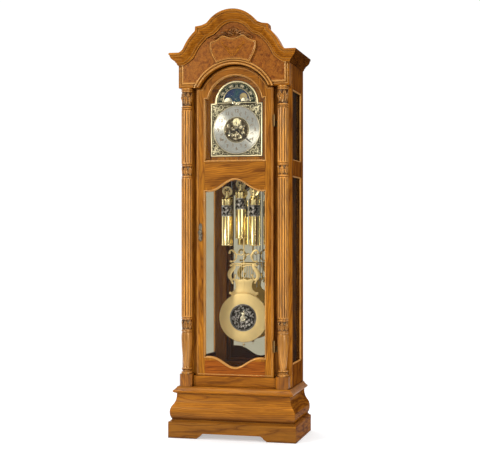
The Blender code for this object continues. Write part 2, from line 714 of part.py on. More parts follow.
def build_dial():
    outline = head_outline(DIAL_HALF, DIAL_Z - DIAL_HALF, DIAL_ARCH_Z, DIAL_ARCH_RADIUS,
                           DIAL_ARCH_Z)
    plate = add_object("dial_plate", prism(outline, DIAL_FRONT, DIAL_BACK), "brass")
    holes = [add_object("moon_window_cutter", prism(moon_window(), -0.10, -0.08)),
             rod_y("hand_hole", 0.0, DIAL_Z, 0.0042, -0.10, -0.08, 12),
             rod_y("seconds_hole", 0.0, SECONDS_Z, 0.0018, -0.10, -0.08)]
    for word, (x, _) in WEIGHTS.items():
        holes.append(rod_y(f"winding_hole_{word}", x, DRUM_Z, 0.0042, -0.10, -0.08, 12))
    cut(plate, *holes)
    disc = [(0.0020, -0.0440), (0.0020, -0.0855), (0.0800, -0.0855), (0.0800, -0.0865),
            (0.0020, -0.0865)]
    moon = add_object("moon_disc", lathe(disc, (0.0, MOON_Z), "Y", 40), "enamel")
    hang_on(moon, (0.0, -0.086, MOON_Z))


def hand_outline(length, angle, pivot_z, eye):
    """A pierced-looking serpentine hand: round eye, waisted stem, leaf and point."""
    stem = [(eye, 0.0), (0.0022, eye + 0.003), (0.0034, 0.30 * length), (0.0016, 0.38 * length),
            (0.0052, 0.52 * length), (0.0016, 0.66 * length), (0.0030, 0.76 * length),
            (0.0010, 0.88 * length), (0.0004, length)]
    base = arc(0.0, eye, -math.pi, 0.0, 8)[1:-1]
    local = base + stem + [(-x, z) for x, z in reversed(stem)]
    sine = math.sin(angle)
    cosine = math.cos(angle)
    return [(x * cosine + z * sine, pivot_z - x * sine + z * cosine) for x, z in local]


def build_hands():
    hour = add_object("hour_hand", prism(hand_outline(0.070, HOUR_ANGLE, DIAL_Z, 0.007),
                                         -0.0960, -0.0946), "black")
    tube = add_object("hour_tube", lathe([(0.0032, -0.0970), (0.0032, -0.0480)],
                                         (0.0, DIAL_Z), "Y", 12))
    join(hour, tube)
    cut(hour, rod_y("hour_bore", 0.0, DIAL_Z, 0.0021, -0.11, -0.03, 12))
    hang_on(hour, (0.0, -0.095, DIAL_Z))
    minute = add_object("minute_hand", prism(hand_outline(0.104, MINUTE_ANGLE, DIAL_Z, 0.006),
                                             -0.1000, -0.0986), "black")
    arbor = lathe([(0.0017, -0.0430), (0.0017, -0.0990), (0.0040, -0.0990), (0.0040, -0.1035)],
                  (0.0, DIAL_Z), "Y", 12)
    join(minute, add_object("minute_arbor", arbor))
    hang_on(minute, (0.0, -0.099, DIAL_Z))
    needle = [(0.0026, 0.0), (0.0008, 0.003), (0.0003, 0.018)]
    base = [(-0.0012, -0.007), (0.0012, -0.007)]
    local = base + needle + [(-x, z) for x, z in reversed(needle)]
    second = add_object("second_hand", prism([(x, z + SECONDS_Z) for x, z in local],
                                             -0.0930, -0.0922), "black")
    join(second, rod_y("second_arbor", 0.0, SECONDS_Z, 0.0012, -0.0938, -0.0430))
    hang_on(second, (0.0, -0.0925, SECONDS_Z))


# ---- weights, cables and drums --------------------------------------------------------------
def build_weight_lines():
    for word, (x, top) in WEIGHTS.items():
        pulley_z = top + PULLEY_RISE
        bottom = top - WEIGHT_HEIGHT
        shell = [(0.0060, bottom - 0.0030), (0.0250, bottom - 0.0010), (0.0292, bottom),
                 (WEIGHT_RADIUS, bottom + 0.003), (WEIGHT_RADIUS, top - 0.003),
                 (0.0292, top), (0.0120, top + 0.003), (0.0060, top + 0.008)]
        weight = add_object(f"weight_{word}", lathe(shell, (x, 0.0), "Z", 20), "brass")
        strap = 0.0060
        for side in (-1, 1):
            ys = sorted((side * 0.0050, side * 0.0062))
            cheek = block((x - strap, ys[0], top + 0.0040), (x + strap, ys[1], pulley_z + strap))
            join(weight, add_object(f"stirrup_{word}_{side}", cheek))
        foot = block((x - strap, -0.0062, top + 0.001), (x + strap, 0.0062, top + 0.007))
        pin = rod_y(f"pulley_pin_{word}", x, pulley_z, 0.0015, -0.0056, 0.0056)
        join(weight, add_object(f"stirrup_foot_{word}", foot), pin)
        hang_on(weight, (x, 0.0, pulley_z))
        flange = 0.0265
        groove = CABLE_OFFSET - CABLE_RADIUS - 0.0007
        wheel = [(0.0019, -0.0045), (flange, -0.0045), (flange, -0.0028), (groove, -0.0012),
                 (groove, 0.0012), (flange, 0.0028), (flange, 0.0045), (0.0019, 0.0045)]
        pulley = add_object(f"pulley_{word}", lathe(wheel, (x, pulley_z), "Y", 24, ring=True),
                            "brass")
        hang_on(pulley, (x, 0.0, pulley_z))
        arbor = 0.0025
        drum_profile = [(arbor, -0.0910), (arbor, -0.0400), (0.0280, -0.0400), (0.0280, -0.0370),
                        (DRUM_RADIUS, -0.0370), (DRUM_RADIUS, 0.0200), (0.0280, 0.0200),
                        (0.0280, 0.0230), (arbor, 0.0230), (arbor, 0.0330)]
        drum = add_object(f"winding_drum_{word}", lathe(drum_profile, (x, DRUM_Z), "Y", 16),
                          "brass")
        hang_on(drum, (x, 0.0, DRUM_Z))
        build_cable(word, x, pulley_z)


def build_cable(word, x, pulley_z):
    """Steel cable from its guide bar, under the pulley and up to its anchor bar.

    The short lead from the drum down to the guide bar never moves: it is on the movement.
    """
    turn = arc(pulley_z, CABLE_OFFSET, math.pi, 2 * math.pi, 14, x)
    ends = [(x + sign * CABLE_OFFSET, ANCHOR_Z - GAP) for sign in (-1, 1)]
    route = [ends[0], *turn, ends[1]]
    curve = bpy.data.curves.new(f"cable_{word}", "CURVE")
    curve.dimensions = "3D"
    curve.bevel_depth = CABLE_RADIUS
    curve.bevel_resolution = 2
    curve.use_fill_caps = True
    spline = curve.splines.new("POLY")
    spline.points.add(len(route) - 1)
    for point, (px, pz) in zip(spline.points, route):
        point.co = (px, 0.0, pz, 1.0)
    curve.materials.append(finish_material(f"cable_{word}", "steel"))
    cable = bpy.data.objects.new(f"cable_{word}", curve)
    bpy.context.scene.collection.objects.link(cable)


# ---- pendulum and chimes --------------------------------------------------------------------
def build_pendulum():
    axis = joint_empty("pendulum_axis", (0.0, PENDULUM_Y, PENDULUM_PIVOT_Z))
    front = PENDULUM_Y - 0.0015
    back = PENDULUM_Y + 0.0015
    rod = add_object("pendulum_lyre", prism(
        [(-0.005, 0.500), (0.005, 0.500), (0.005, 1.495), (-0.005, 1.495)], front, back), "brass")
    eye = add_object("pendulum_eye", lathe([(0.007, front), (0.007, back)],
                                           (0.0, PENDULUM_PIVOT_Z), "Y", 12))
    thread = add_object("rating_thread", lathe([(0.0014, 0.4520), (0.0014, 0.5100)],
                                               (0.0, PENDULUM_Y), "Z", 10))
    tools = [eye, thread]
    scroll = smooth_curve([(0.088, 0.944), (0.091, 0.958), (0.080, 0.963), (0.068, 0.945),
                           (0.058, 0.915), (0.066, 0.890), (0.086, 0.862), (0.082, 0.832),
                           (0.060, 0.812), (0.054, 0.780), (0.070, 0.745), (0.074, 0.720)], 2)
    for side in (-1, 1):
        arm = ribbon([(side * x, z) for x, z in scroll], 0.0055)
        tools.append(add_object(f"lyre_arm_{side}", prism(arm, front, back)))
        string = block((side * 0.030 - 0.0015, front, 0.735), (side * 0.030 + 0.0015, back, 0.912))
        tools.append(add_object(f"lyre_string_{side}", string))
    for level, half in ((0.910, 0.062), (0.805, 0.060), (0.738, 0.072)):
        bar = block((-half, front, level - 0.004), (half, back, level + 0.004))
        tools.append(add_object(f"lyre_bar_{level}", bar))
    join(rod, *tools)
    cut(rod, rod_y("pendulum_eye_bore", 0.0, PENDULUM_PIVOT_Z, 0.0024, 0.05, 0.08, 12))
    hang_on(rod, axis.location, axis)
    bob_back = front - GAP
    dish = [(0.0500, bob_back), (BOB_RADIUS - 0.004, bob_back), (BOB_RADIUS, bob_back - 0.003),
            (BOB_RADIUS, bob_back - 0.006), (BOB_RADIUS - 0.005, bob_back - 0.010),
            (0.1000, bob_back - 0.0145), (0.0600, bob_back - 0.0170)]
    bob = add_object("pendulum_bob", lathe(dish, (0.0, BOB_Z), "Y", 48), "brass")
    hang_on(bob, axis.location, axis)
    nut_loop = [(0.0018, 0.4620), (0.0075, 0.4620), (0.0075, 0.4700), (0.0018, 0.4700)]
    nut = add_object("rating_nut", lathe(nut_loop, (0.0, PENDULUM_Y), "Z", 12, ring=True), "brass")
    hang_on(nut, (0.0, PENDULUM_Y, 0.466), axis)


def build_chimes():
    rods = 9
    bar = add_object("chime_rods", block((0.040, 0.118, 1.3850), (0.200, 0.1775, 1.4150)),
                     "steel")
    for index in range(rods):
        x = 0.056 + 0.016 * index
        length = 0.62 - 0.035 * index
        rod = lathe([(0.0022, 1.390 - length), (0.0022, 1.390)], (x, 0.130), "Z", 8)
        join(bar, add_object(f"chime_rod_{index}", rod))


def main():
    clear_scene()
    door_axis = joint_empty("door_axis", (HINGE_X, HINGE_Y, 0.0))
    build_plinth()
    build_bombe()
    build_waist_deck()
    build_face_frame()
    build_sides()
    build_back()
    build_columns()
    build_crown()
    build_pediment()
    build_shield()
    build_door(door_axis)
    build_seat_board()
    build_movement()
    build_dial()
    build_hands()
    build_weight_lines()
    build_pendulum()
    build_chimes()


main()
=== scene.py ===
"""Looks of the longcase clock: materials, carving, dial work, brass work, light and camera."""

import json
import math
import random

import bmesh
import bpy
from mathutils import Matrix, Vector

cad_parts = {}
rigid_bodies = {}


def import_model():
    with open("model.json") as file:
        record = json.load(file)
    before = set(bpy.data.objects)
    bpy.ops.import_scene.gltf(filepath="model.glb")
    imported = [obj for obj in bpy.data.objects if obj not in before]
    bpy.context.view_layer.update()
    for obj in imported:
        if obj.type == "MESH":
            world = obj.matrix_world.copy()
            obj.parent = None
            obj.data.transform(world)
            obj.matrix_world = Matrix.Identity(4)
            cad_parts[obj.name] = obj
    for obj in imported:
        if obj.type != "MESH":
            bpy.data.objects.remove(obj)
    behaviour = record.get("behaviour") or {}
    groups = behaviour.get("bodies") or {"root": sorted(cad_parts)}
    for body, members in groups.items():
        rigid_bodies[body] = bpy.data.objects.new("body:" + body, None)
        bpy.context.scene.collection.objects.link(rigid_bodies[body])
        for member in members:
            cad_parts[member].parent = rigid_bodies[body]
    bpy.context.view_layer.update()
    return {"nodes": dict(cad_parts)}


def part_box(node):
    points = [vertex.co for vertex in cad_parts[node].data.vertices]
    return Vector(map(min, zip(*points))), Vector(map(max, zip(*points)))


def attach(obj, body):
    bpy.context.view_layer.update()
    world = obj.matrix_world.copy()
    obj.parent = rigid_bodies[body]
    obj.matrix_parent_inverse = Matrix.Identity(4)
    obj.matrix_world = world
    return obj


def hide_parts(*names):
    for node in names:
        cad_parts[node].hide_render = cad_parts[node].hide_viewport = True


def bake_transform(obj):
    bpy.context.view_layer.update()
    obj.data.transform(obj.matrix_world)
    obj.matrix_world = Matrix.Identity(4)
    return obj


for leftover in list(bpy.data.objects):
    bpy.data.objects.remove(leftover, do_unlink=True)

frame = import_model()


# ---- node helpers ---------------------------------------------------------------------------
class Shader:
    """A material under construction: short calls to add and wire nodes."""

    def __init__(self, name):
        self.material = bpy.data.materials.new(name)
        self.material.use_nodes = True
        self.tree = self.material.node_tree
        self.bsdf = self.tree.nodes["Principled BSDF"]

    def node(self, kind, **settings):
        made = self.tree.nodes.new(kind)
        for key, value in settings.items():
            setattr(made, key, value)
        return made

    def plug(self, source, socket):
        if isinstance(source, bpy.types.NodeSocket):
            self.tree.links.new(source, socket)
        else:
            socket.default_value = source

    def math(self, operation, a, b=0.0, c=0.0, clamp=False):
        made = self.node("ShaderNodeMath", operation=operation, use_clamp=clamp)
        for socket, value in zip(made.inputs, (a, b, c)):
            self.plug(value, socket)
        return made.outputs[0]

    def coords(self, scale=(1, 1, 1), rotation=(0, 0, 0), location=(0, 0, 0)):
        place = self.node("ShaderNodeTexCoord")
        mapping = self.node("ShaderNodeMapping")
        self.plug(place.outputs["Object"], mapping.inputs["Vector"])
        self.plug(scale, mapping.inputs["Scale"])
        self.plug(rotation, mapping.inputs["Rotation"])
        self.plug(location, mapping.inputs["Location"])
        return mapping.outputs[0]

    def split(self, vector):
        made = self.node("ShaderNodeSeparateXYZ")
        self.plug(vector, made.inputs[0])
        return made.outputs

    def join(self, *values):
        made = self.node("ShaderNodeCombineXYZ")
        for value, socket in zip(values, made.inputs):
            self.plug(value, socket)
        return made.outputs[0]

    def times(self, a, b):
        return self.math("MULTIPLY", a, b)

    def plus(self, a, b):
        return self.math("ADD", a, b)

    def length(self, a, b):
        return self.math("SQRT", self.plus(self.times(a, a), self.times(b, b)))

    def noise(self, vector, scale, detail=3.0, roughness=0.55, distortion=0.0):
        made = self.node("ShaderNodeTexNoise")
        self.plug(vector, made.inputs["Vector"])
        for key, value in (("Scale", scale), ("Detail", detail), ("Roughness", roughness),
                           ("Distortion", distortion)):
            made.inputs[key].default_value = value
        return made.outputs["Fac"]

    def ramp(self, factor, stops, interpolation="LINEAR"):
        made = self.node("ShaderNodeValToRGB")
        ramp = made.color_ramp
        ramp.interpolation = interpolation
        while len(ramp.elements) < len(stops):
            ramp.elements.new(0.5)
        for element, (position, colour) in zip(ramp.elements, stops):
            element.position = position
            if isinstance(colour, (int, float)):
                colour = (colour, colour, colour)
            element.color = (*colour, 1.0)
        self.plug(factor, made.inputs["Fac"])
        return made.outputs["Color"]

    def mix(self, factor, a, b, blend="MIX"):
        made = self.node("ShaderNodeMix", data_type="RGBA", blend_type=blend)
        self.plug(factor, made.inputs["Factor"])
        for socket, value in ((made.inputs[6], a), (made.inputs[7], b)):
            if isinstance(value, tuple) and len(value) == 3:
                value = (*value, 1.0)
            self.plug(value, socket)
        return made.outputs[2]

    def tinted(self, body, tint):
        return self.mix(1.0, body, tint, "MULTIPLY")

    def bump(self, height, strength, distance):
        made = self.node("ShaderNodeBump")
        made.inputs["Strength"].default_value = strength
        made.inputs["Distance"].default_value = distance
        self.plug(height, made.inputs["Height"])
        return made.outputs[0]

    def hollows(self, reach, low=0.35, high=0.85):
        """0 deep in corners and grooves, 1 on open surfaces: where the painted shade falls."""
        shade = self.node("ShaderNodeAmbientOcclusion", samples=4)
        shade.inputs["Distance"].default_value = reach
        return self.ramp(shade.outputs["AO"], [(low, 0.1), (high, 1.0)])

    def set(self, **values):
        for key, value in values.items():
            self.plug(value, self.bsdf.inputs[key.replace("_", " ")])
        return self.material


# ---- wood -----------------------------------------------------------------------------------
GRAIN_TURNS = {"Z": (0, 0, 0), "X": (0, math.pi / 2, 0), "Y": (math.pi / 2, 0, 0)}
PALE_OAK = (0.470, 0.178, 0.012)
MID_OAK = (0.340, 0.112, 0.009)
DARK_OAK = (0.120, 0.030, 0.003)
# colour of the painted shade in corners and grooves
HOLLOW_SHADE_COLOUR = (0.045, 0.009, 0.0015)
WARM_SHEEN = (1.0, 0.74, 0.42, 1.0)
SEAM_WIDTH = 0.0006


def rail_masks(s, rails):
    """Masks for boards whose grain runs crosswise, and for the fine joints at their ends."""
    x, _, z = s.split(s.coords())
    reach = s.math("ABSOLUTE", x)
    rail, seam = 0.0, 0.0
    for low, high, half in rails:
        band = s.times(s.math("GREATER_THAN", z, low), s.math("LESS_THAN", z, high))
        rail = s.math("MAXIMUM", rail, s.times(band, s.math("LESS_THAN", reach, half)))
        line = s.math("LESS_THAN", s.math("ABSOLUTE", s.math("SUBTRACT", reach, half)),
                      SEAM_WIDTH)
        seam = s.math("MAXIMUM", seam, s.times(band, line))
    return rail, seam


def oak(name, grain="Z", shift=(0.0, 0.0, 0.0), tone=1.0, red=0.0, lean=0.04, gloss=0.40,
        polish=0.30, shine=0.22, painted_shade=(0.012, 0.45, 0.95), rails=(), painted_highlight=0.0,
        figure=1.0, inner_shade=None, ruddy=0.0, painted_light_by_height=None):
    """Golden oak with growth rings, open pores and lacquer; the grain runs along one axis.

    pale mixes in a light orange, a painted highlight on raised beads and crests; figure is the
    strength of the broad bands; hidden is (axis, limit) of the inner faces, left darker as painted
    shade; crosswise boards lower than ruddy are redder; wash holds (height, tone) of painted light
    and shade by height; glaze is (reach, low, high) of the painted shade in corners and grooves;
    rails holds (z low, z high, half width) of boards whose grain runs crosswise instead."""
    s = Shader(name)
    turn = GRAIN_TURNS[grain]
    along = s.coords((1, 1, 1), (turn[0] + lean, turn[1] + lean * 0.7, turn[2]), shift)
    seam = None
    if rails:
        cross = s.coords((1, 1, 1), (lean, math.pi / 2 + lean, 0.0), (shift[1], 0.31, shift[0]))
        rail, seam = rail_masks(s, rails)
        swap = s.node("ShaderNodeMix", data_type="VECTOR")
        s.plug(rail, swap.inputs["Factor"])
        s.plug(along, swap.inputs[4])
        s.plug(cross, swap.inputs[5])
        along = swap.outputs[1]
    x, y, z = s.split(along)

    def stretched(across, length, *settings):
        """Noise drawn out along the grain."""
        return s.noise(s.join(s.times(x, across), s.times(y, across), s.times(z, length)),
                       1.0, *settings)

    sway = s.noise(s.coords((3.2, 3.2, 3.2), turn, shift), 1.0, 2.0)
    wander = stretched(7.0, 1.4, 3.0, 0.5, 0.4)
    field = s.plus(s.times(s.length(x, y), 105.0),
                   s.plus(s.times(wander, 9.0), s.times(sway, 3.0)))
    ring = s.math("FRACT", field)
    pores = stretched(900.0, 26.0, 2.0, 0.6)
    streaks = stretched(150.0, 4.0, 4.0, 0.6)
    colour = s.ramp(ring, [(0.0, MID_OAK), (0.25, PALE_OAK), (0.62, PALE_OAK),
                           (0.86, MID_OAK), (0.95, DARK_OAK), (1.0, MID_OAK)], "EASE")
    body = s.mix(0.62, (0.395, 0.138, 0.008), colour)
    shade = s.ramp(streaks, [(0.28, 0.70), (0.50, 1.0), (0.75, 1.16)])
    body = s.tinted(body, shade)
    early = s.ramp(ring, [(0.0, 1.0), (0.30, 0.15), (0.80, 0.25), (1.0, 1.0)])
    pore_mask = s.times(s.ramp(pores, [(0.55, 0.0), (0.66, 1.0)]), early)
    body = s.mix(s.times(pore_mask, 0.75), body, (0.085, 0.022, 0.003))
    bands = s.join(s.plus(s.times(x, 40.0), s.times(sway, 5.0)),
                   s.plus(s.times(y, 40.0), s.times(wander, 2.0)), s.times(z, 4.5))
    patch = s.noise(bands, 1.0, 3.0, 0.62, 0.5)
    broad = s.ramp(patch, [(0.32, (0.42, 0.33, 0.26)), (0.45, (0.84, 0.79, 0.74)),
                           (0.55, (1.04, 1.04, 1.04)), (0.70, (1.38, 1.42, 1.44))])
    body = s.mix(figure, body, broad, "MULTIPLY")
    body = s.tinted(body, (tone, tone * (1.0 - 0.26 * red), tone * (1.0 - 0.45 * red)))
    # painted highlight: a light orange mixed into raised beads and crests
    if painted_highlight:
        body = s.mix(painted_highlight, body, (0.80, 0.46, 0.15))
    if rails:
        body = s.mix(s.times(rail, 0.8), body, s.tinted(body, (0.86, 0.82, 0.80)))
    if inner_shade or ruddy or painted_light_by_height:
        place = s.split(s.coords())
    # painted light and shade by height
    if painted_light_by_height:
        light_stops = [(at, (dim, dim ** 1.15, dim ** 1.25)) for at, dim in painted_light_by_height]
        body = s.tinted(body, s.ramp(place[2], light_stops))
    if ruddy:
        low = s.times(s.math("LESS_THAN", place[2], ruddy), rail)
        body = s.mix(low, body, s.tinted(body, (0.92, 0.66, 0.70)))
    # painted shade: the inner faces past the limit turn dark brown
    if inner_shade:
        axis, limit = inner_shade
        reach = place[axis]
        inside = (s.math("GREATER_THAN", reach, limit) if axis
                  else s.math("LESS_THAN", s.math("ABSOLUTE", reach), limit))
        body = s.mix(s.times(inside, 0.62), body, (0.030, 0.010, 0.002))
    # painted shade: darker in corners, grooves and under overhangs, from ambient occlusion
    body = s.mix(s.hollows(*painted_shade), HOLLOW_SHADE_COLOUR, body)
    # painted shade in carved grooves and hollows, from the glaze point attribute
    shade_attribute = s.node("ShaderNodeAttribute", attribute_name="painted_shade")
    body = s.mix(s.times(shade_attribute.outputs["Fac"], 0.95), body, (0.042, 0.008, 0.001))
    if seam:
        body = s.mix(s.times(seam, 0.65), body, (0.050, 0.011, 0.0015))
    height = s.math("SUBTRACT", s.times(streaks, 0.3), pore_mask)
    rough = s.plus(gloss, s.times(pore_mask, 0.25))
    return s.set(Base_Color=body, Roughness=rough, Normal=s.bump(height, 0.22, 0.0004),
                 Specular_IOR_Level=shine, Specular_Tint=WARM_SHEEN,
                 Coat_Weight=polish, Coat_Roughness=0.12)


def burl(name):
    """Burl veneer: swirling eyes and clouds in orange and brown under a glossy lacquer."""
    s = Shader(name)
    base = s.coords()
    clouds = s.noise(base, 17.0, 6.0, 0.66, 3.2)
    eyes = s.node("ShaderNodeTexVoronoi", feature="F1")
    warp = s.noise(base, 30.0, 2.0)
    moved = s.node("ShaderNodeVectorMath", operation="ADD")
    s.plug(base, moved.inputs[0])
    offset = s.node("ShaderNodeVectorMath", operation="SCALE")
    s.plug(s.join(warp, warp, warp), offset.inputs[0])
    offset.inputs["Scale"].default_value = 0.04
    s.plug(offset.outputs[0], moved.inputs[1])
    s.plug(moved.outputs[0], eyes.inputs["Vector"])
    eyes.inputs["Scale"].default_value = 58.0
    curl = s.noise(moved.outputs[0], 190.0, 3.0, 0.6, 1.2)
    body = s.ramp(clouds, [(0.34, (0.085, 0.014, 0.003)), (0.45, (0.215, 0.050, 0.007)),
                           (0.56, (0.380, 0.120, 0.012)), (0.70, (0.230, 0.055, 0.007))])
    body = s.mix(0.45, body, s.ramp(eyes.outputs["Distance"],
                                    [(0.0, (0.050, 0.010, 0.002)), (0.22, (0.240, 0.066, 0.008)),
                                     (0.6, (0.400, 0.135, 0.016))]))
    body = s.tinted(body, s.ramp(curl, [(0.35, 0.60), (0.65, 1.22)]))
    return s.set(Base_Color=body, Roughness=0.27, Normal=s.bump(curl, 0.05, 0.0003),
                 Specular_IOR_Level=0.40, Specular_Tint=WARM_SHEEN,
                 Coat_Weight=0.04, Coat_Roughness=0.12)


# ---- metal, glass and enamel ----------------------------------------------------------------
def metal(name, colour, roughness, brush=None, streak=0.06, tarnish=0.12, ripple=0.03, pure=1.0):
    """Polished or brushed metal; brush is the (x, y, z) scale of its fine lines,
    and pure falls below one under a satin lacquer."""
    s = Shader(name)
    cloud = s.noise(s.coords((9, 9, 9)), 1.0, 3.0)
    tone = s.ramp(cloud, [(0.3, 1.0 - tarnish), (0.7, 1.0 + tarnish * 0.4)])
    body = s.tinted(colour, tone)
    lines = s.noise(s.coords(brush or (420, 420, 420)), 1.0, 2.0)
    rough = s.plus(roughness - streak / 2, s.times(lines, streak))
    made = s.set(Base_Color=body, Metallic=pure, Roughness=rough)
    if ripple:
        s.set(Normal=s.bump(lines, 0.10 if brush else ripple, 0.0002))
    return made


def antique(name, bright, dark, scale=260.0, roughness=0.38):
    """Cast and blackened brass: dark in the hollows, rubbed bright on the raised work."""
    s = Shader(name)
    grit = s.noise(s.coords((scale, scale, scale)), 1.0, 3.0)
    cloud = s.noise(s.coords((38, 38, 38)), 1.0, 2.0)
    wear = s.plus(s.times(grit, 0.5), s.times(cloud, 0.5))
    body = s.mix(s.ramp(wear, [(0.38, 0.0), (0.62, 1.0)]), dark, bright)
    return s.set(Base_Color=body, Metallic=1.0, Roughness=roughness,
                 Normal=s.bump(grit, 0.25, 0.0003))


def clear_glass(name, strength=0.35):
    """Thin window glass: see-through, with a mirror-like sheen that grows at a slant."""
    s = Shader(name)
    fade = s.node("ShaderNodeFresnel")
    fade.inputs["IOR"].default_value = 1.42
    smear = s.noise(s.coords((7, 7, 7)), 1.0, 2.0)
    alpha = s.math("ADD", s.times(fade.outputs[0], strength), s.times(smear, 0.004), clamp=True)
    tint = s.ramp(smear, [(0.3, (0.86, 0.91, 0.88)), (0.7, (0.92, 0.96, 0.94))])
    s.material.surface_render_method = "BLENDED"
    return s.set(Base_Color=tint, Metallic=1.0, Roughness=0.012, Alpha=alpha)


def mirror_glass(name):
    s = Shader(name)
    haze = s.noise(s.coords((5, 5, 5)), 1.0, 2.0)
    body = s.ramp(haze, [(0.3, (0.72, 0.67, 0.46)), (0.7, (0.82, 0.77, 0.57))])
    return s.set(Base_Color=body, Metallic=1.0, Roughness=0.012)


def enamel(name, colour, roughness=0.35, fleck=0.15, shine=0.5, polish=0.3):
    s = Shader(name)
    cloud = s.noise(s.coords((60, 60, 60)), 1.0, 3.0)
    body = s.tinted(colour, s.ramp(cloud, [(0.3, 1.0 - fleck), (0.7, 1.0 + fleck)]))
    return s.set(Base_Color=body, Roughness=roughness, Specular_IOR_Level=shine,
                 Coat_Weight=polish, Coat_Roughness=0.1, Normal=s.bump(cloud, 0.05, 0.0002))


def spun(name, colour, roughness, anisotropy):
    """Silvered sheet finished on a lathe: fine rings round the middle of the piece."""
    s = Shader(name)
    x, _, z = s.split(s.coords(location=(0.0, 0.0, -1.601)))
    rings = s.node("ShaderNodeTexNoise", noise_dimensions="1D")
    s.plug(s.times(s.length(x, z), 2600.0), rings.inputs["W"])
    rings.inputs["Scale"].default_value = 1.0
    cloud = s.noise(s.coords((14, 14, 14)), 1.0, 3.0)
    body = s.tinted(colour, s.ramp(cloud, [(0.3, 0.88), (0.7, 1.04)]))
    body = s.mix(s.times(rings.outputs[0], 0.22), body, (0.50, 0.47, 0.38))
    tangent = s.node("ShaderNodeTangent", direction_type="RADIAL", axis="Y")
    made = s.set(Base_Color=body, Metallic=1.0, Roughness=roughness, Anisotropic=anisotropy,
                 Anisotropic_Rotation=0.25, Normal=s.bump(rings.outputs[0], 0.12, 0.0001))
    s.plug(tangent.outputs[0], s.bsdf.inputs["Tangent"])
    return made


def sky(name):
    """Painted night sky, from deep blue to teal."""
    s = Shader(name)
    x = s.split(s.coords(location=(0.0, 0.0, -1.745)))[0]
    cloud = s.noise(s.coords((30, 30, 30)), 1.0, 4.0, 0.6)
    side = s.plus(s.times(s.math("ABSOLUTE", x), 9.0), s.times(s.plus(cloud, -0.5), 0.9))
    body = s.ramp(side, [(0.0, (0.030, 0.085, 0.090)), (0.35, (0.018, 0.035, 0.105)),
                         (0.75, (0.010, 0.014, 0.050))])
    return s.set(Base_Color=body, Roughness=0.38, Specular_IOR_Level=0.15,
                 Normal=s.bump(cloud, 0.05, 0.0002))


# painted light and shade on the bombé: lit on the belly, shaded below it and under the waist
BOMBE_PAINTED_LIGHT = ((0.095, 0.46), (0.112, 0.62), (0.128, 0.84), (0.152, 1.0), (0.177, 1.22),
              (0.190, 1.06), (0.207, 0.95), (0.229, 1.0))
DOOR_RAILS = ((0.30, 0.400, 0.161), (1.300, 1.4385, 0.161), (1.830, 1.95, 0.125))
FRAME_RAILS = ((0.20, 0.335, 0.215), (1.80, 2.10, 0.40))
BOARD = dict(lean=0.03, polish=0.04, shine=0.35, gloss=0.34)
BARE = dict(polish=0.0, shine=1.0)
CARVING = dict(painted_shade=(0.010, 0.55, 0.95), **BARE)
OAK_DOOR = oak("oak_door", "Z", (0.11, 0.23, 0.0), 0.93, 0.06, polish=0.03, shine=0.30,
               rails=DOOR_RAILS, painted_shade=(0.014, 0.50, 0.97), inner_shade=(1, -0.1075), ruddy=0.41)
OAK_UP = oak("oak_upright", "Z", (0.15, 0.20, 0.1), 0.82, 0.42, gloss=0.3, polish=0.05, shine=0.8)
OAK_FRAME = oak("oak_face_frame", "Z", (-0.31, 0.18, 0.4), 1.00, 0.12, polish=0.03, shine=0.30,
                rails=FRAME_RAILS, painted_shade=(0.006, 0.35, 0.85), inner_shade=(1, -0.0845))
OAK_ACROSS = oak("oak_across", "X", (0.17, -0.09, 0.3), 0.99, 0.20, polish=0.0, shine=0.15,
                 gloss=0.32, figure=0.8, painted_shade=(0.018, 0.52, 0.98))
OAK_BASE = oak("oak_base_front", "X", (-0.21, 0.13, 0.7), 0.94, 0.16, **BOARD, figure=0.45,
               painted_shade=(0.032, 0.50, 0.98), painted_light_by_height=BOMBE_PAINTED_LIGHT)
OAK_PLINTH = oak("oak_plinth", "X", (0.05, 0.43, 0.2), 0.62, 0.12, **BOARD, figure=0.55)
# the side boards of plinth, bombé, cornice and case are toned darker than the fronts: painted shade
# on faces turned from the lamps
OAK_DEEP = oak("oak_depth", "Y", (0.27, 0.35, 0.1), 0.62, 0.45, polish=0.08, shine=0.0)
OAK_CORNICE = oak("oak_cornice_side", "Y", (0.22, 0.31, 0.2), 0.31, 0.70, polish=0.05, shine=0.0)
OAK_SIDE = oak("oak_side", "Z", (0.41, -0.22, 0.2), 0.54, 0.70, polish=0.08, shine=0.0,
               inner_shade=(0, 0.277))
# the boards inside the case are toned very dark: painted shade
OAK_INSIDE = oak("oak_inside", "Z", (0.05, 0.61, 0.6), 0.170, 0.35, gloss=0.6, polish=0.0,
                 shine=0.0)
# beads, columns and capitals are toned far lighter than the boards, with a light orange mixed in:
# painted highlight
OAK_JAMB = oak("oak_window_bead", "Z", (0.02, 0.11, 0.5), 1.40, gloss=0.24, painted_highlight=0.36, **BARE)
OAK_SIDE_BEAD = oak("oak_side_bead", "Z", (0.02, 0.21, 0.5), 1.90, gloss=0.35, polish=0.0,
                    shine=0.6, painted_highlight=0.40)
OAK_BEAD = oak("oak_bead", "X", (0.12, 0.31, 0.5), 1.20, 0.1, gloss=0.24, painted_highlight=0.32, **BARE)
OAK_COLUMN = oak("oak_column", "Z", (0.09, 0.04, 0.9), 1.52, 0.08, gloss=0.20, painted_highlight=0.22,
                 painted_shade=(0.008, 0.62, 0.97), **BARE)
OAK_CARVED = oak("oak_carved", "Z", (0.33, 0.04, 0.9), 1.50, gloss=0.22, painted_highlight=0.20, **CARVING)
BURL = burl("burl_veneer")
DIAL_CAST = antique("dial_centre_cast", (0.13, 0.10, 0.055), (0.020, 0.015, 0.010), 300.0)
SHELL_WOOD = oak("carved_dark", "X", (0.2, 0.5, 0.4), 0.58, 0.60, gloss=0.24, **CARVING)
BRASS = metal("brass_polished", (0.96, 0.76, 0.32), 0.25, tarnish=0.05, streak=0.02, ripple=0.0)
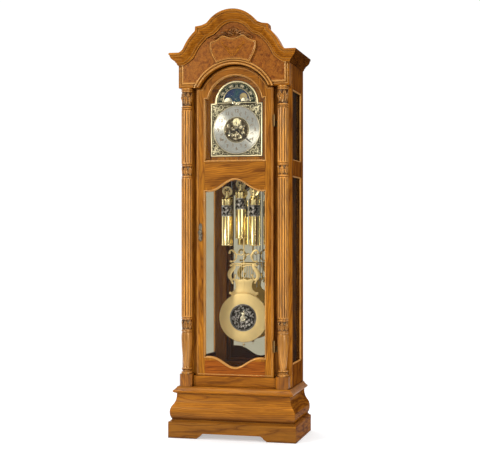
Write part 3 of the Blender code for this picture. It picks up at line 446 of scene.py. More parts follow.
BRASS_BRUSHED = metal("brass_brushed", (0.84, 0.64, 0.26), 0.34, (700, 60, 60), 0.12)
BRASS_SATIN = metal("brass_satin", (0.80, 0.60, 0.27), 0.26, tarnish=0.15)
BRASS_EDGE = metal("brass_edge", (0.98, 0.86, 0.52), 0.36)
SILVER = spun("silver_ring", (0.76, 0.75, 0.64), 0.20, 0.92)
BOB_BRASS = metal("bob_brass", (1.0, 0.74, 0.30), 0.46, (900, 60, 40), 0.10, pure=0.6)
PULLEY_GOLD = metal("pulley_gold", (1.0, 0.78, 0.36), 0.38, pure=0.75)
BRASS_PALE = metal("brass_pale", (0.92, 0.82, 0.55), 0.26, tarnish=0.3)
GOLD_PALE = metal("gold_pale", (0.95, 0.86, 0.52), 0.42, tarnish=0.1)
SPANDREL = metal("spandrel_brass", (0.62, 0.56, 0.35), 0.34, tarnish=0.4)
DARK_CAST = antique("dark_cast", (0.055, 0.045, 0.032), (0.010, 0.008, 0.006))
GLOBE = antique("globe_enamel", (0.98, 0.93, 0.66), (0.06, 0.05, 0.03), 200.0, 0.45)
TAN_INK = enamel("tan_ink", (0.22, 0.13, 0.045), 0.5, 0.15, 0.2, 0.0)
CREAM_INK = enamel("cream_ink", (0.62, 0.54, 0.33), 0.40)
MOON_GOLD = antique("moon_gold", (0.45, 0.36, 0.17), (0.14, 0.11, 0.06), 90.0, 0.5)
ANTIQUE = antique("brass_antique", (0.42, 0.36, 0.26), (0.035, 0.026, 0.018))
DIAL_GROUND = antique("dial_ground", (0.13, 0.110, 0.065), (0.022, 0.018, 0.010), 420.0, 0.45)
ANTIQUE_PALE = antique("silver_antique", (0.86, 0.80, 0.70), (0.30, 0.27, 0.22), 260.0, 0.30)
STEEL = metal("cable_steel", (0.55, 0.54, 0.52), 0.30)
CHIME = metal("chime_metal", (0.46, 0.44, 0.40), 0.32)
GLASS = clear_glass("window_glass")
SIDE_GLASS = clear_glass("side_window_glass", 0.06)
MIRROR = mirror_glass("mirror_glass")
NIGHT = sky("moon_night")
BLACK = enamel("hand_black", (0.012, 0.011, 0.010), 0.32, 0.15, 0.25, 0.0)
HINGE = metal("hinge_dark", (0.24, 0.15, 0.06), 0.42)
GREEN = enamel("ring_green", (0.012, 0.022, 0.009), 0.4, 0.5, 0.12, 0.0)


# ---- which CAD node wears what --------------------------------------------------------------
SIDES = ("left", "right")
HEIGHTS = ("lower", "upper")
PLACES = ("left", "centre", "right")
WEAR = (
    (OAK_PLINTH, "plinth_front"), (OAK_BASE, "bombe_front waist_deck"),
    (OAK_INSIDE, "base_back back_panel roof_board seat_board"), (OAK_FRAME, "face_frame"),
    (MIRROR, "back_mirror"), (OAK_ACROSS, "pediment_board crown_moulding"),
    (BURL, "pediment_shield"), (SHELL_WOOD, "shell_carving"),
    (BRASS_SATIN, "movement_frame rating_nut"), (DIAL_GROUND, "dial_plate"),
    (CHIME, "chime_rods"), (OAK_DOOR, "door_frame"), (GLASS, "dial_glass trunk_glass"),
    (ANTIQUE, "escutcheon lock_key"), (NIGHT, "moon_disc"),
    (BLACK, "hour_hand minute_hand second_hand"), (BRASS_BRUSHED, "pendulum_lyre pendulum_bob"))
WEAR_EACH = (
    (SIDES, OAK_DEEP, "plinth bombe"), (SIDES, OAK_SIDE, "side_frame"),
    (SIDES, SIDE_GLASS, "side_glass"), (SIDES, OAK_UP, "column_pedestal"),
    (SIDES, OAK_COLUMN, "column_shaft"), (SIDES, OAK_CARVED, "column_capital"),
    (SIDES, OAK_CORNICE, "cornice"), (HEIGHTS, HINGE, "hinge_case hinge_door"),
    (PLACES, BRASS, "weight pulley"), (PLACES, BRASS_SATIN, "winding_drum"),
    (PLACES, STEEL, "cable"))


def wear(node_name, material):
    node = frame["nodes"][node_name]
    node.data.materials.clear()
    node.data.materials.append(material)


for material, names in WEAR:
    for node_name in names.split():
        wear(node_name, material)
for words, material, names in WEAR_EACH:
    for base in names.split():
        for word in words:
            wear(f"{base}_{word}", material)


# ---- shape helpers --------------------------------------------------------------------------
TAU = 2 * math.pi


def piece(name, shape_data, material, body, slot, hides=(), angle=38.0, merge=0.0, painted_shade=None):
    """A new object from (points, faces), riding on a body and wearing one material; slot is not
    used.

    glaze holds 0..1 for each point: how much painted shade lies there."""
    verts, faces = shape_data
    mesh = bpy.data.meshes.new(name)
    mesh.from_pydata([tuple(v) for v in verts], [], faces)
    shape = bmesh.new()
    shape.from_mesh(mesh)
    if merge:
        bmesh.ops.remove_doubles(shape, verts=shape.verts, dist=merge)
    bmesh.ops.recalc_face_normals(shape, faces=shape.faces)
    shape.to_mesh(mesh)
    shape.free()
    if painted_shade:
        shade_attribute = mesh.attributes.new("painted_shade", "FLOAT", "POINT")
        shade_attribute.data.foreach_set("value", painted_shade)
    mesh.shade_smooth()
    mesh.set_sharp_from_angle(angle=math.radians(angle))
    mesh.materials.append(material)
    made = bpy.data.objects.new(name, mesh)
    bpy.context.scene.collection.objects.link(made)
    if body:
        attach(made, body)
    if hides:
        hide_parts(*hides)
    return made


def bundle(parts):
    """Several (verts, faces) as one."""
    verts, faces = [], []
    for some_verts, some_faces in parts:
        start = len(verts)
        verts.extend(some_verts)
        faces.extend([tuple(i + start for i in face) for face in some_faces])
    return verts, faces


def loft(rings, closed=True, caps=True):
    """Skin over equal rings of points; closed says whether each ring joins up."""
    count = len(rings[0])
    verts = [p for ring in rings for p in ring]
    faces = []
    for row in range(len(rings) - 1):
        for i in range(count if closed else count - 1):
            j = (i + 1) % count
            faces.append((row * count + i, row * count + j,
                          (row + 1) * count + j, (row + 1) * count + i))
    if caps and closed:
        faces.append(tuple(range(count)))
        last = (len(rings) - 1) * count
        faces.append(tuple(last + i for i in range(count)))
    return verts, faces


def turned(profile, centre, axis="Z", segments=48, ring=False, relief=None):
    """Lathe work from (radius, height) points; relief(angle, height) is added to the radius."""
    rings = []
    for radius, height in profile:
        row = []
        for step in range(segments):
            angle = TAU * step / segments
            reach = radius + (relief(angle, height) if relief else 0.0)
            a, b = reach * math.cos(angle), reach * math.sin(angle)
            if axis == "Z":
                row.append((centre[0] + a, centre[1] + b, height))
            else:
                row.append((centre[0] + a, height, centre[1] + b))
        rings.append(row)
    if ring:
        rings.append(rings[0])
    return loft(rings, caps=not ring)


def catmull(points, steps=4, closed=False):
    """Smooth curve through points of any dimension."""
    count = len(points)
    made = []
    for i in range(count if closed else count - 1):
        if closed:
            a, b, c, d = (points[(i + k) % count] for k in (-1, 0, 1, 2))
        else:
            a, b = points[max(i - 1, 0)], points[i]
            c, d = points[i + 1], points[min(i + 2, count - 1)]
        for step in range(steps):
            t = step / steps
            made.append(tuple(
                0.5 * (2 * q + (r - p) * t + (2 * p - 5 * q + 4 * r - s) * t * t
                       + (3 * q - p - 3 * r + s) * t ** 3)
                for p, q, r, s in zip(a, b, c, d)))
    if not closed:
        made.append(tuple(points[-1]))
    return made


def tube(points, radius, sides=6, closed=False, flat=1.0, out=None):
    """Rod along 3-D points; radius is a number or a function of 0..1; flat squeezes it
    along out, the direction that faces away from the ground it lies on."""
    count = len(points)
    rings = []
    place = [Vector(p) for p in points]
    out = Vector(out or (0, -1, 0))
    for i, here in enumerate(place):
        before = place[(i - 1) % count] if closed or i else here
        after = place[(i + 1) % count] if closed or i + 1 < count else here
        along = (after - before).normalized()
        up = out - along * along.dot(out)
        up = up.normalized() if up.length > 1e-6 else along.orthogonal().normalized()
        across = along.cross(up)
        size = radius(i / (count - 1)) if callable(radius) else radius
        rings.append([tuple(here + across * (size * math.cos(TAU * k / sides))
                            + up * (size * flat * math.sin(TAU * k / sides)))
                      for k in range(sides)])
    if closed:
        rings.append(rings[0])
    return loft(rings, caps=not closed)


def scroll(x, z, start, turns, big, small=0.0, steps=16, hand=1):
    """Flat spiral from radius big to radius small round (x, z)."""
    made = []
    for i in range(steps + 1):
        t = i / steps
        angle = start + hand * turns * TAU * t
        reach = big + (small - big) * t
        made.append((x + reach * math.cos(angle), z + reach * math.sin(angle)))
    return made


def mitres(outline, closed):
    """Unit-depth mitre vectors to the left of the outline's direction."""
    count = len(outline)
    made = []
    for i in range(count):
        here = Vector(outline[i])
        ends = []
        if closed or i:
            ends.append((here - Vector(outline[i - 1])).normalized())
        if closed or i + 1 < count:
            ends.append((Vector(outline[(i + 1) % count]) - here).normalized())
        sides = [Vector((-d.y, d.x)) for d in ends]
        middle = sum(sides, Vector((0, 0))).normalized()
        made.append(middle / max(middle.dot(sides[0]), 0.35))
    return made


def moulding(outline, section, closed=True):
    """Strip along an XZ outline; section is a loop of (distance to the left, y)."""
    rings = []
    for point, side in zip(outline, mitres(outline, closed)):
        rings.append([(point[0] + side.x * d, y, point[1] + side.y * d) for d, y in section])
    if closed:
        rings.append(rings[0])
    return loft(rings, caps=not closed)


def slab(outline, y_front, y_back, edge=0.0):
    """Plate over an XZ outline with a softened front edge."""
    rings = []
    if edge:
        for inset, drop in ((1.0, 0.0), (0.45, 0.18), (0.12, 0.55), (0.0, 1.0)):
            rings.append([(p[0] + n.x * edge * inset, y_front + edge * drop,
                           p[1] + n.y * edge * inset)
                          for p, n in zip(outline, mitres(outline, True))])
    else:
        rings.append([(x, y_front, z) for x, z in outline])
    rings.append([(x, y_back, z) for x, z in outline])
    return loft(rings)


def drawn_in(outline, distance, closed=True):
    """The same outline, moved to its left."""
    return [(p[0] + n.x * distance, p[1] + n.y * distance)
            for p, n in zip(outline, mitres(outline, closed))]


def half_round(wide, rise, y, steps=6, shift=0.0):
    """Section of a half-round bead that stands on the plane at y."""
    return [(wide * math.cos(math.pi * i / steps) + shift, y - rise * math.sin(math.pi * i / steps))
            for i in range(steps + 1)]


def mesh_of(curve):
    """Points and faces of a text or cut-out curve."""
    holder = bpy.data.objects.new("holder", curve)
    bpy.context.scene.collection.objects.link(holder)
    bpy.context.view_layer.update()
    mesh = bpy.data.meshes.new_from_object(holder.evaluated_get(
        bpy.context.evaluated_depsgraph_get()))
    bpy.data.objects.remove(holder)
    return mesh.vertices, [tuple(p.vertices) for p in mesh.polygons]


def arc(x, z, radius, start, end, steps):
    return [(x + radius * math.cos(start + (end - start) * i / steps),
             z + radius * math.sin(start + (end - start) * i / steps))
            for i in range(steps + 1)]


def both_sides(half):
    """Closed outline from its right half, which runs from the bottom to the top."""
    return list(half) + [(-x, z) for x, z in reversed(half) if abs(x) > 1e-6]


def smooth(low, high, value):
    t = min(max((value - low) / (high - low), 0.0), 1.0)
    return t * t * (3 - 2 * t)


def leaf(u, v, lobes=4.0):
    """Height 0..1 of a carved leaf; u is -1..1 across its cell and v is 0..1 up it."""
    if not 0.0 < v < 1.0:
        return 0.0
    width = 0.92 * math.sin(math.pi * v ** 0.8) ** 0.55
    width *= 1.0 + 0.13 * math.cos(TAU * lobes * v)
    edge = smooth(0.0, 0.22, width - abs(u))
    rib = 1.0 - 0.45 * math.exp(-(u / 0.12) ** 2)
    vein = 1.0 + 0.16 * math.cos(13.0 * abs(u) - 16.0 * v)
    return edge * rib * vein * (0.45 + 0.65 * v)


# ---- columns --------------------------------------------------------------------------------
COLUMN_LOW, COLUMN_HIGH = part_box("column_shaft_right")
CAPITAL_LOW, CAPITAL_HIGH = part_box("column_capital_right")
COLUMN_Y = (COLUMN_LOW[1] + COLUMN_HIGH[1]) / 2
COLUMN_X = (COLUMN_LOW[0] + COLUMN_HIGH[0]) / 2
RING_RADIUS = (COLUMN_HIGH[0] - COLUMN_LOW[0]) / 2
REEDS = 12
REED_DEPTH = 0.0042
REED_RADIUS = 0.0286
REEDED = ((0.624, 1.349), (1.423, 1.705))
LEAF_BANDS = ((0.561, 0.609), (1.362, 1.410))


def bead_profile(radius, low, high, swell=0.0016, steps=5):
    """Half-round ring between two heights, standing swell proud of radius."""
    return [(radius + swell * math.sin(math.pi * i / steps), low + (high - low) * i / steps)
            for i in range(steps + 1)]


def leaf_cell(angle, shift=0.0):
    """Place across one of the six leaves round the column, -1..1."""
    return (angle * 6 / TAU + shift) % 1.0 * 2 - 1


def shaft_relief(angle, height):
    for low, high in REEDED:
        if low - 0.002 <= height <= high + 0.002:
            cell = (angle * REEDS / TAU) % 1.0 * 2 - 1
            fade = smooth(low + 0.001, low + 0.012, height) * smooth(
                high - 0.001, high - 0.012, height)
            return -REED_DEPTH * (1 - math.sqrt(max(1 - cell * cell, 0.0))) * fade
    for low, high in LEAF_BANDS:
        if low < height < high:
            v = (height - low) / (high - low)
            main = leaf(leaf_cell(angle), v)
            small = 0.6 * leaf(leaf_cell(angle, 0.5), v * 1.5)
            return -0.0040 + 0.0052 * max(main, small)
    return 0.0


def shaft_profile():
    ring = RING_RADIUS - 0.0002
    collar, neck, bell = ring - 0.0035, 0.0262, 0.0268

    def reeds(low, rises):
        return [(REED_RADIUS, low + rise) for rise in rises]

    def leaves(low):
        return [(bell, low + 0.048 * i / 24) for i in range(1, 24)]

    fade = (0.0, 0.003, 0.006, 0.009, 0.012)
    rows = [(ring, COLUMN_LOW[2]), (ring, 0.3362), (REED_RADIUS, 0.3375)]
    rows += [(0.0225 + 0.0050 * (1 - math.sin(math.pi * i / 6)), 0.3385 + 0.0115 * i / 6)
             for i in range(7)]
    rows += bead_profile(0.0240, 0.3510, 0.3600, 0.0034)
    rows += catmull([(0.0196, 0.3610), (0.0176, 0.3680), (0.0186, 0.3800), (0.0228, 0.4180),
                     (0.0268, 0.4650), (0.0290, 0.5080), (0.0284, 0.5310), (neck, 0.5450)], 6)
    rows += bead_profile(collar, 0.5470, 0.5585, 0.0035)
    rows += [(neck, 0.5595), (neck, 0.5610)] + leaves(0.561) + [(neck, 0.609), (neck, 0.6105)]
    rows += bead_profile(collar, 0.6115, 0.6205, 0.0035)
    rows += [(bell, 0.6215), (0.0275, 0.6240)] + reeds(0.625, fade)
    rows += [(REED_RADIUS, 0.65 + 0.674 * i / 10) for i in range(11)]
    rows += reeds(1.336, fade) + [(bell, 1.3505)]
    rows += bead_profile(collar, 1.3515, 1.3600, 0.0035)
    rows += [(neck, 1.3610), (neck, 1.3620)] + leaves(1.362) + [(neck, 1.4100), (neck, 1.4115)]
    rows += bead_profile(collar, 1.4120, 1.4205, 0.0035)
    rows += [(bell, 1.4215), (REED_RADIUS, 1.4240)] + reeds(1.424, (0.002, 0.005, 0.008, 0.011))
    rows += [(REED_RADIUS, 1.45 + 0.230 * i / 4) for i in range(5)]
    rows += reeds(1.692, fade)
    rows += bead_profile(collar, 1.7060, COLUMN_HIGH[2], 0.0035)
    return rows


def capital_relief(angle, height):
    low, high = CAPITAL_LOW[2] + 0.010, CAPITAL_HIGH[2] - 0.020
    v = (height - low) / (high - low)
    if not 0 < v < 1:
        return 0.0
    front = leaf(leaf_cell(angle), v / 0.72)
    back = leaf(leaf_cell(angle, 0.5), (v - 0.12) / 0.86)
    curl = 0.0035 * math.exp(-((v - 0.60) / 0.10) ** 2) * front
    return 0.0046 * max(front, 0.8 * back) + curl


def capital_profile():
    low, high = CAPITAL_LOW[2], CAPITAL_HIGH[2]
    rows = bead_profile(0.0262, low, low + 0.0080, 0.0034)
    rows += catmull([(0.0234, low + 0.010), (0.0226, low + 0.026), (0.0234, low + 0.048),
                     (0.0252, low + 0.068), (0.0262, high - 0.021)], 10)
    rows += bead_profile(0.0268, high - 0.0190, high - 0.0120, 0.0028)
    edge = RING_RADIUS - 0.0003
    return rows + [(0.0270, high - 0.0110), (edge, high - 0.0095), (edge, high)]


def stain_of(relief, deepest, profile, segments):
    """Painted shade for each point of a turned shape, from how deep its relief lies; up to the top
    of the lower leaf band it is darker as well.
    """
    made = []
    for _, height in profile:
        for step in range(segments):
            depth = relief(TAU * step / segments, height) / deepest
            foot = 0.36 * (1.0 - smooth(0.605, 0.625, height))
            made.append(max(smooth(0.10, 0.66, depth), foot))
    return made


def build_columns():
    for word, sign in (("left", -1), ("right", 1)):
        centre = (sign * COLUMN_X, COLUMN_Y)
        profile = shaft_profile()
        piece(f"reeded_shaft_{word}", turned(profile, centre, "Z", 168, relief=shaft_relief),
              OAK_COLUMN, "case", "oak_case", [f"column_shaft_{word}"], 50,
              painted_shade=stain_of(shaft_relief, -REED_DEPTH, profile, 168))
        profile = capital_profile()
        # painted shade in the hollows of the carved capital
        carved = stain_of(lambda angle, height: 0.0046 - capital_relief(angle, height)
                          if 1.727 < height < 1.797 else 0.0, 0.0046, profile, 120)
        piece(f"carved_capital_{word}", turned(profile, centre, "Z", 120, relief=capital_relief),
              OAK_CARVED, "case", "oak_case", [f"column_capital_{word}"], 60, painted_shade=carved)


build_columns()


# ---- pediment -------------------------------------------------------------------------------
BOARD_LOW, BOARD_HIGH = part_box("pediment_board")
FRIEZE_Y = -0.158
ARCH_Z = 1.7275
ARCH_RADIUS = 0.2065
TRIM_RADIUS = 0.2310
CROWN_FLAT = 1.998
CROWN_DEPTH = 0.0635
CROWN_FRONT = -0.2025
CROWN_RIDGES = ((0.0108, -0.2010, 0.0012), (0.0188, -0.1969, 0.0011), (0.0495, -0.1718, 0.0013),
                (0.0602, -0.1658, 0.0014))


def crown_outline():
    """Top edge of the crown moulding, from its right end to the middle."""
    corner = [(0.3365, CROWN_FLAT)]
    swoop = catmull([(0.2810, CROWN_FLAT), (0.2620, 2.0120), (0.2470, 2.0405),
                     (0.2250, 2.0740), (0.1945, 2.1060)], 2)
    shoulder = [(0.1925, 2.1290), (0.1600, 2.1335), (0.1340, 2.1440)]
    radius = 0.1597
    centre_z = 2.213 - radius
    start = math.asin((shoulder[-1][1] - centre_z) / radius)
    crest = arc(0.0, centre_z, radius, start + 0.06, math.pi / 2, 9)
    return corner + swoop + shoulder + crest


def crown_lower_edge():
    """Where the crown moulding meets the frieze, from the right end to the middle."""
    inner = drawn_in(crown_outline(), CROWN_DEPTH + 0.001, closed=False)
    kept = [q for q in inner if q[0] < 0.2700]
    kept[-1] = (0.0, kept[-1][1])
    return kept


def arch_moulding(radius, section, low_z):
    """Moulding round the arch; section is a loop of (distance outward, y)."""
    start = math.asin((low_z - ARCH_Z) / radius)
    path = arc(0.0, ARCH_Z, radius, start, math.pi - start, 56)
    return moulding(path, [(-d, y) for d, y in section], closed=False)


def build_frieze():
    top = crown_lower_edge()
    low = BOARD_LOW[2] + 0.0230
    side = BOARD_HIGH[0] - 0.0210
    radius = TRIM_RADIUS + 0.0012
    start = math.asin((low - ARCH_Z) / radius)
    inner = arc(0.0, ARCH_Z, radius, math.pi / 2, start, 24)
    half = inner[1:] + [(side, low), (side, top[0][1] + 0.004)] + top[1:]
    outline = half + [(-x, z) for x, z in reversed(half[:-1])]
    piece("frieze_burl", slab(outline, FRIEZE_Y - 0.0009, FRIEZE_Y + 0.0004), BURL, "case",
          "oak_crown", angle=30)
    bead = half_round(0.0055, 0.0040, FRIEZE_Y)
    thin = [(d * 0.45, FRIEZE_Y + (y - FRIEZE_Y) * 0.55) for d, y in bead]
    strips = []
    for sign in (1, -1):
        x0 = math.sqrt(TRIM_RADIUS ** 2 - (low - ARCH_Z) ** 2)
        path = [(sign * (x0 + 0.001), low), (sign * side, low), (sign * side, top[0][1] + 0.010)]
        strips.append(moulding(path, [(d - 0.0005, y) for d, y in bead], closed=False))
        rail = [(sign * (x0 + 0.010), low - 0.0125), (sign * (side + 0.0125), low - 0.0125),
                (sign * (side + 0.0125), top[0][1] - 0.004)]
        strips.append(moulding(rail, thin, closed=False))
    piece("frieze_beads", bundle(strips), OAK_BEAD, "case", "oak_crown")

    step = FRIEZE_Y - 0.0075
    outer_bead = half_round(0.0050, 0.0040, step, shift=-0.0052)
    inner_bead = half_round(0.0046, 0.0052, step, shift=0.0046)
    bottom = BOARD_LOW[2] + 0.0006
    piece("arch_trim_beads",
          bundle([arch_moulding(TRIM_RADIUS, outer_bead, bottom),
                  arch_moulding(ARCH_RADIUS, inner_bead, bottom)]),
          OAK_BEAD, "case", "oak_crown")


def shield_outline():
    """Right half of the shield, from the middle of its foot to the middle of its top."""
    foot_radius = TRIM_RADIUS + 0.0006
    foot = arc(0.0, ARCH_Z, foot_radius, math.pi / 2, math.acos(0.080 / foot_radius), 8)
    side = catmull([(0.086, 1.9395), (0.101, 1.9650), (0.117, 1.9980), (0.1225, 2.0240),
                    (0.121, 2.0500)], 5)
    top = catmull([(0.1210, 2.0510), (0.0900, 2.0580), (0.0640, 2.0770), (0.0480, 2.0805),
                   (0.0250, 2.0720), (0.0, 2.0655)], 5)
    return foot + side + top


def build_shield():
    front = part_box("pediment_shield")[0][1]
    half = shield_outline()
    outline = half + [(-x, z) for x, z in reversed(half[1:-1])]
    rim = [(x, front - 0.0004, z) for x, z in drawn_in(outline, 0.0030)]
    line = [(x, front - 0.0001, z) for x, z in drawn_in(outline, 0.0090)]
    piece("shield_rim", bundle([tube(rim, 0.0030, 8, closed=True, flat=0.9),
                                tube(line, 0.0009, 5, closed=True, flat=0.6)]),
          OAK_BEAD, "case", "burl_veneer")
    lines = []
    for sign in (1, -1):
        for reach, lift, curl in ((0.060, 2.030, 0.008), (0.044, 2.012, 0.007),
                                  (0.030, 1.996, 0.006)):
            path = catmull([(sign * 0.004, lift - 0.022), (sign * reach * 0.45, lift - 0.012),
                            (sign * reach * 0.85, lift + 0.002), (sign * reach, lift + 0.012),
                            (sign * (reach - curl), lift + 0.016),
                            (sign * (reach - curl * 1.6), lift + 0.009)], 5)
            lines.append(tube([(x, front - 0.0002, z) for x, z in path],
                              lambda t: 0.0030 * math.sin(math.pi * (0.12 + 0.80 * t)), 8,
                              flat=0.55))
    stem = [(0.0, front - 0.0002, z) for z in (1.975, 1.985, 2.000, 2.020)]
    lines.append(tube(stem, lambda t: 0.0034 * (1 - 0.7 * t), 8, flat=0.55))
    piece("shield_inlay", bundle(lines), OAK_ACROSS, "case", "burl_veneer")


def carved_blade(path, width, y_front, thick=0.35, sides=10):
    """Leaf-like swelling along an XZ path; width is a function of 0..1."""
    return tube([(x, y_front, z) for x, z in path], width, sides, flat=thick)


def build_shell():
    (_, front, _), (_, back, _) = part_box("shell_carving")
    centre_z = 2.0905
    parts = []
    rings = []
    steps, rows = 72, 12
    for row in range(rows + 1):
        t = row / rows
        ring = []
        for i in range(steps + 1):
            angle = math.pi * (i / steps) * 1.16 - 0.08 * math.pi
            rib = abs(math.cos(4.5 * (angle - math.pi / 2)))
            reach = (0.006 + 0.0265 * t) * (1 + 0.07 * rib * t)
            dome = math.sin(math.pi * min(t * 0.80 + 0.12, 1.0))
            y = back - (back - front) * (0.25 + 0.75 * dome * (0.55 + 0.45 * rib))
            ring.append((reach * math.cos(angle), y, centre_z + reach * math.sin(angle)))
        rings.append(ring)
    rings.append([(x, back, z) for x, _, z in rings[-1]])
    parts.append(loft(rings, closed=False, caps=False))
    mid = (front + back) / 2
    parts.append(carved_blade(arc(0.0, centre_z, 0.0058, 0, TAU * 15 / 16, 15),
                              0.0030, mid - 0.002, 0.9))
    for sign in (1, -1):
        for base, tip, lift, fat in ((0.020, 0.060, 0.010, 0.0052), (0.030, 0.082, 0.000, 0.0050),
                                     (0.040, 0.102, -0.012, 0.0044)):
            path = catmull([(sign * base, centre_z - 0.004 + lift * 0.3),
                            (sign * (base * 0.55 + tip * 0.45), centre_z + lift + 0.002),
                            (sign * tip * 0.92, centre_z + lift - 0.004),
                            (sign * tip, centre_z + lift - 0.010),
                            (sign * (tip - 0.005), centre_z + lift - 0.014)], 5)
            parts.append(carved_blade(path, lambda t, f=fat: f * (0.35 + math.sin(
                math.pi * min(t * 1.05 + 0.08, 1)) ** 0.8), mid, 1.25))
        path = catmull([(sign * 0.012, centre_z - 0.009), (sign * 0.040, centre_z - 0.014),
                        (sign * 0.072, centre_z - 0.012), (sign * 0.098, centre_z - 0.021),
                        (sign * 0.103, centre_z - 0.0255)], 5)
        parts.append(carved_blade(path, lambda t: 0.0030 * (1.15 - t), mid, 0.7))
        parts.append(carved_blade(scroll(sign * 0.028, centre_z - 0.0165, 0, 0.9, 0.006, 0.0015,
                                         hand=sign), 0.0020, mid - 0.001, 0.8))
    piece("carved_shell", bundle(parts), SHELL_WOOD, "case", "carved_wood", ["shell_carving"], 55)


def build_ridges():
    """Fine beads on the edges of the crown moulding, in the lightened bead oak of the painted
    highlight.
    """
    half = crown_outline()
    half[-1] = (0.0, half[-1][1])
    path = half + [(-x, z) for x, z in reversed(half[:-1])]
    strips = []
    for depth, y, size in CROWN_RIDGES:
        limit = half[0][0] - (y - CROWN_FRONT) - 0.0015
        rings = []
        for point, side in zip(path, mitres(path, False)):
            ring = []
            for k in range(8):
                inward = depth + size * math.cos(TAU * k / 8)
                x = max(-limit, min(limit, point[0] + side.x * inward))
                ring.append((x, y + size * math.sin(TAU * k / 8), point[1] + side.y * inward))
            rings.append(ring)
        strips.append(loft(rings))
    piece("crown_ridges", bundle(strips), OAK_BEAD, "case", "oak_crown")


build_ridges()
build_frieze()
build_shield()
build_shell()


# ---- leafy ornament ---------------------------------------------------------------------------
def flourish(hand=1):
    """Strokes of one leafy scroll growing from (0, 0) to about (1, 0): (points, thickness)."""
    strokes = [
        ([(0.0, 0.0), (0.18, 0.10 * hand), (0.36, 0.06 * hand)]
         + scroll(0.62, -0.02 * hand, math.pi * 0.93 * hand, 1.35, 0.27, 0.05, 18, -hand), 0.050),
        ([(0.16, 0.09 * hand)] + scroll(0.27, -0.14 * hand, math.pi * 0.62 * hand, 0.95, 0.13,
                                        0.03, 10, hand), 0.036),
        ([(0.36, 0.06 * hand)] + scroll(0.36, 0.25 * hand, -math.pi * 0.5 * hand, 0.70, 0.13,
                                        0.04, 8, hand), 0.032)]
    for at, turn, length in ((0.50, 0.27, 0.20), (0.75, 0.25, 0.22), (0.93, 0.08, 0.20),
                             (0.90, -0.16, 0.16), (0.12, 0.10, 0.14)):
        start = (at, turn * hand)
        strokes.append(([start, (at + length * 0.55, (turn + length * 0.25) * hand),
                         (at + length, (turn + length * 0.05) * hand)], 0.045))
    return strokes


def raised(strokes, origin, angle, size, y, fat=1.0, flat=0.6, wrap=None):
    """Strokes laid on the plane at y, or round an upright cylinder (x, y, radius)."""
    made = []
    ca, sa = math.cos(angle), math.sin(angle)
    for points, thickness in strokes:
        flat_points = [(origin[0] + size * (u * ca - v * sa), origin[1] + size * (u * sa + v * ca))
                       for u, v in catmull(points, 2)]
        out = None
        if wrap:
            cx, cy, radius = wrap
            middle = flat_points[len(flat_points) // 2][0] / radius
            out = (math.sin(middle), -math.cos(middle), 0)
            place = [(cx + radius * math.sin(u / radius), cy - radius * math.cos(u / radius), v)
                     for u, v in flat_points]
        else:
            place = [(u, y, v) for u, v in flat_points]
        made.append(tube(place, lambda t, w=thickness: size * fat * w * (1.1 - 0.75 * t), 5,
                         flat=flat, out=out))
    return made


def strewn(count, centre, inner, outer, size, y, seed, fat=1.3):
    """Small scrolls scattered evenly over a ring, turned every way."""
    rng = random.Random(seed)
    made = []
    for i in range(count):
        reach = math.sqrt(inner ** 2 + (outer ** 2 - inner ** 2) * (i + 0.5) / count)
        turn = 2.39996 * i
        start = (centre[0] + reach * math.cos(turn), centre[1] + reach * math.sin(turn))
        heading = turn + math.pi * rng.choice((0.55, -0.55, 0.9, -0.9))
        made += raised(flourish(rng.choice((1, -1))), start, heading,
                       size * rng.uniform(0.8, 1.15), y, fat, 0.8)
    return made


def bar(a, b, width, y_front, y_back):
    """Straight flat strip between two XZ points."""
    along = (Vector(b) - Vector(a)).normalized()
    side = Vector((-along.y, along.x)) * (width / 2)
    outline = [(a[0] - side.x, a[1] - side.y), (b[0] - side.x, b[1] - side.y),
               (b[0] + side.x, b[1] + side.y), (a[0] + side.x, a[1] + side.y)]
    return slab(outline, y_front, y_back)


def hoop(x, z, radius, y, thick, segments=64, flat=1.0, start=0.0, end=TAU):
    """Round bead on a circle or on part of one."""
    closed = end - start > TAU - 1e-6
    path = [(a, y, b) for a, b in arc(x, z, radius, start, end, segments)]
    return tube(path[:-1] if closed else path, thick, 8, closed=closed, flat=flat)


def washer(x, z, inner, outer, y_front, y_back, segments=64):
    return turned([(inner, y_back), (inner, y_front), (outer, y_front), (outer, y_back)],
                  (x, z), "Y", segments, ring=True)


def disc(x, z, radius, y_front, y_back, segments=40, dome=0.0):
    """Round plate with a soft edge; dome lifts its middle."""
    rows = [(radius, y_back), (radius, y_front + radius * 0.03)]
    quarter = [math.pi / 2 * i / 5 for i in range(5)]
    rows += [(radius * math.cos(a), y_front - dome * math.sin(a)) for a in quarter]
    rows.append((0.0002, y_front - dome))
    return turned(rows, (x, z), "Y", segments)


NUMERAL_LIFT = 0.00015


def lettering(text, x, z, size, y):
    """Upright numerals as a mesh on the dial."""
    curve = bpy.data.curves.new("numeral", "FONT")
    curve.body = text
    curve.size = size
    curve.align_x = curve.align_y = "CENTER"
    curve.extrude = NUMERAL_LIFT
    curve.resolution_u = 3
    points, faces = mesh_of(curve)
    return [(x + v.co.x, y - v.co.z, z + v.co.y) for v in points], faces


# ---- dial -----------------------------------------------------------------------------------
DIAL_LOW, DIAL_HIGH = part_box("dial_plate")
FACE_Y = DIAL_LOW[1]
HALF_DIAL = DIAL_HIGH[0]
DIAL_Z = DIAL_LOW[2] + HALF_DIAL
ARCH_BASE = DIAL_Z + HALF_DIAL
DIAL_ARCH = DIAL_HIGH[2] - ARCH_BASE
MOON_Z = (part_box("moon_disc")[0][2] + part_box("moon_disc")[1][2]) / 2
MOON_SILL = MOON_Z + 0.003
SECONDS_Z = (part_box("second_hand")[0][2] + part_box("second_hand")[1][2]) / 2
CHAPTER_IN, CHAPTER_OUT = 0.066, 0.1265
PLATE_Y = FACE_Y - 0.0012


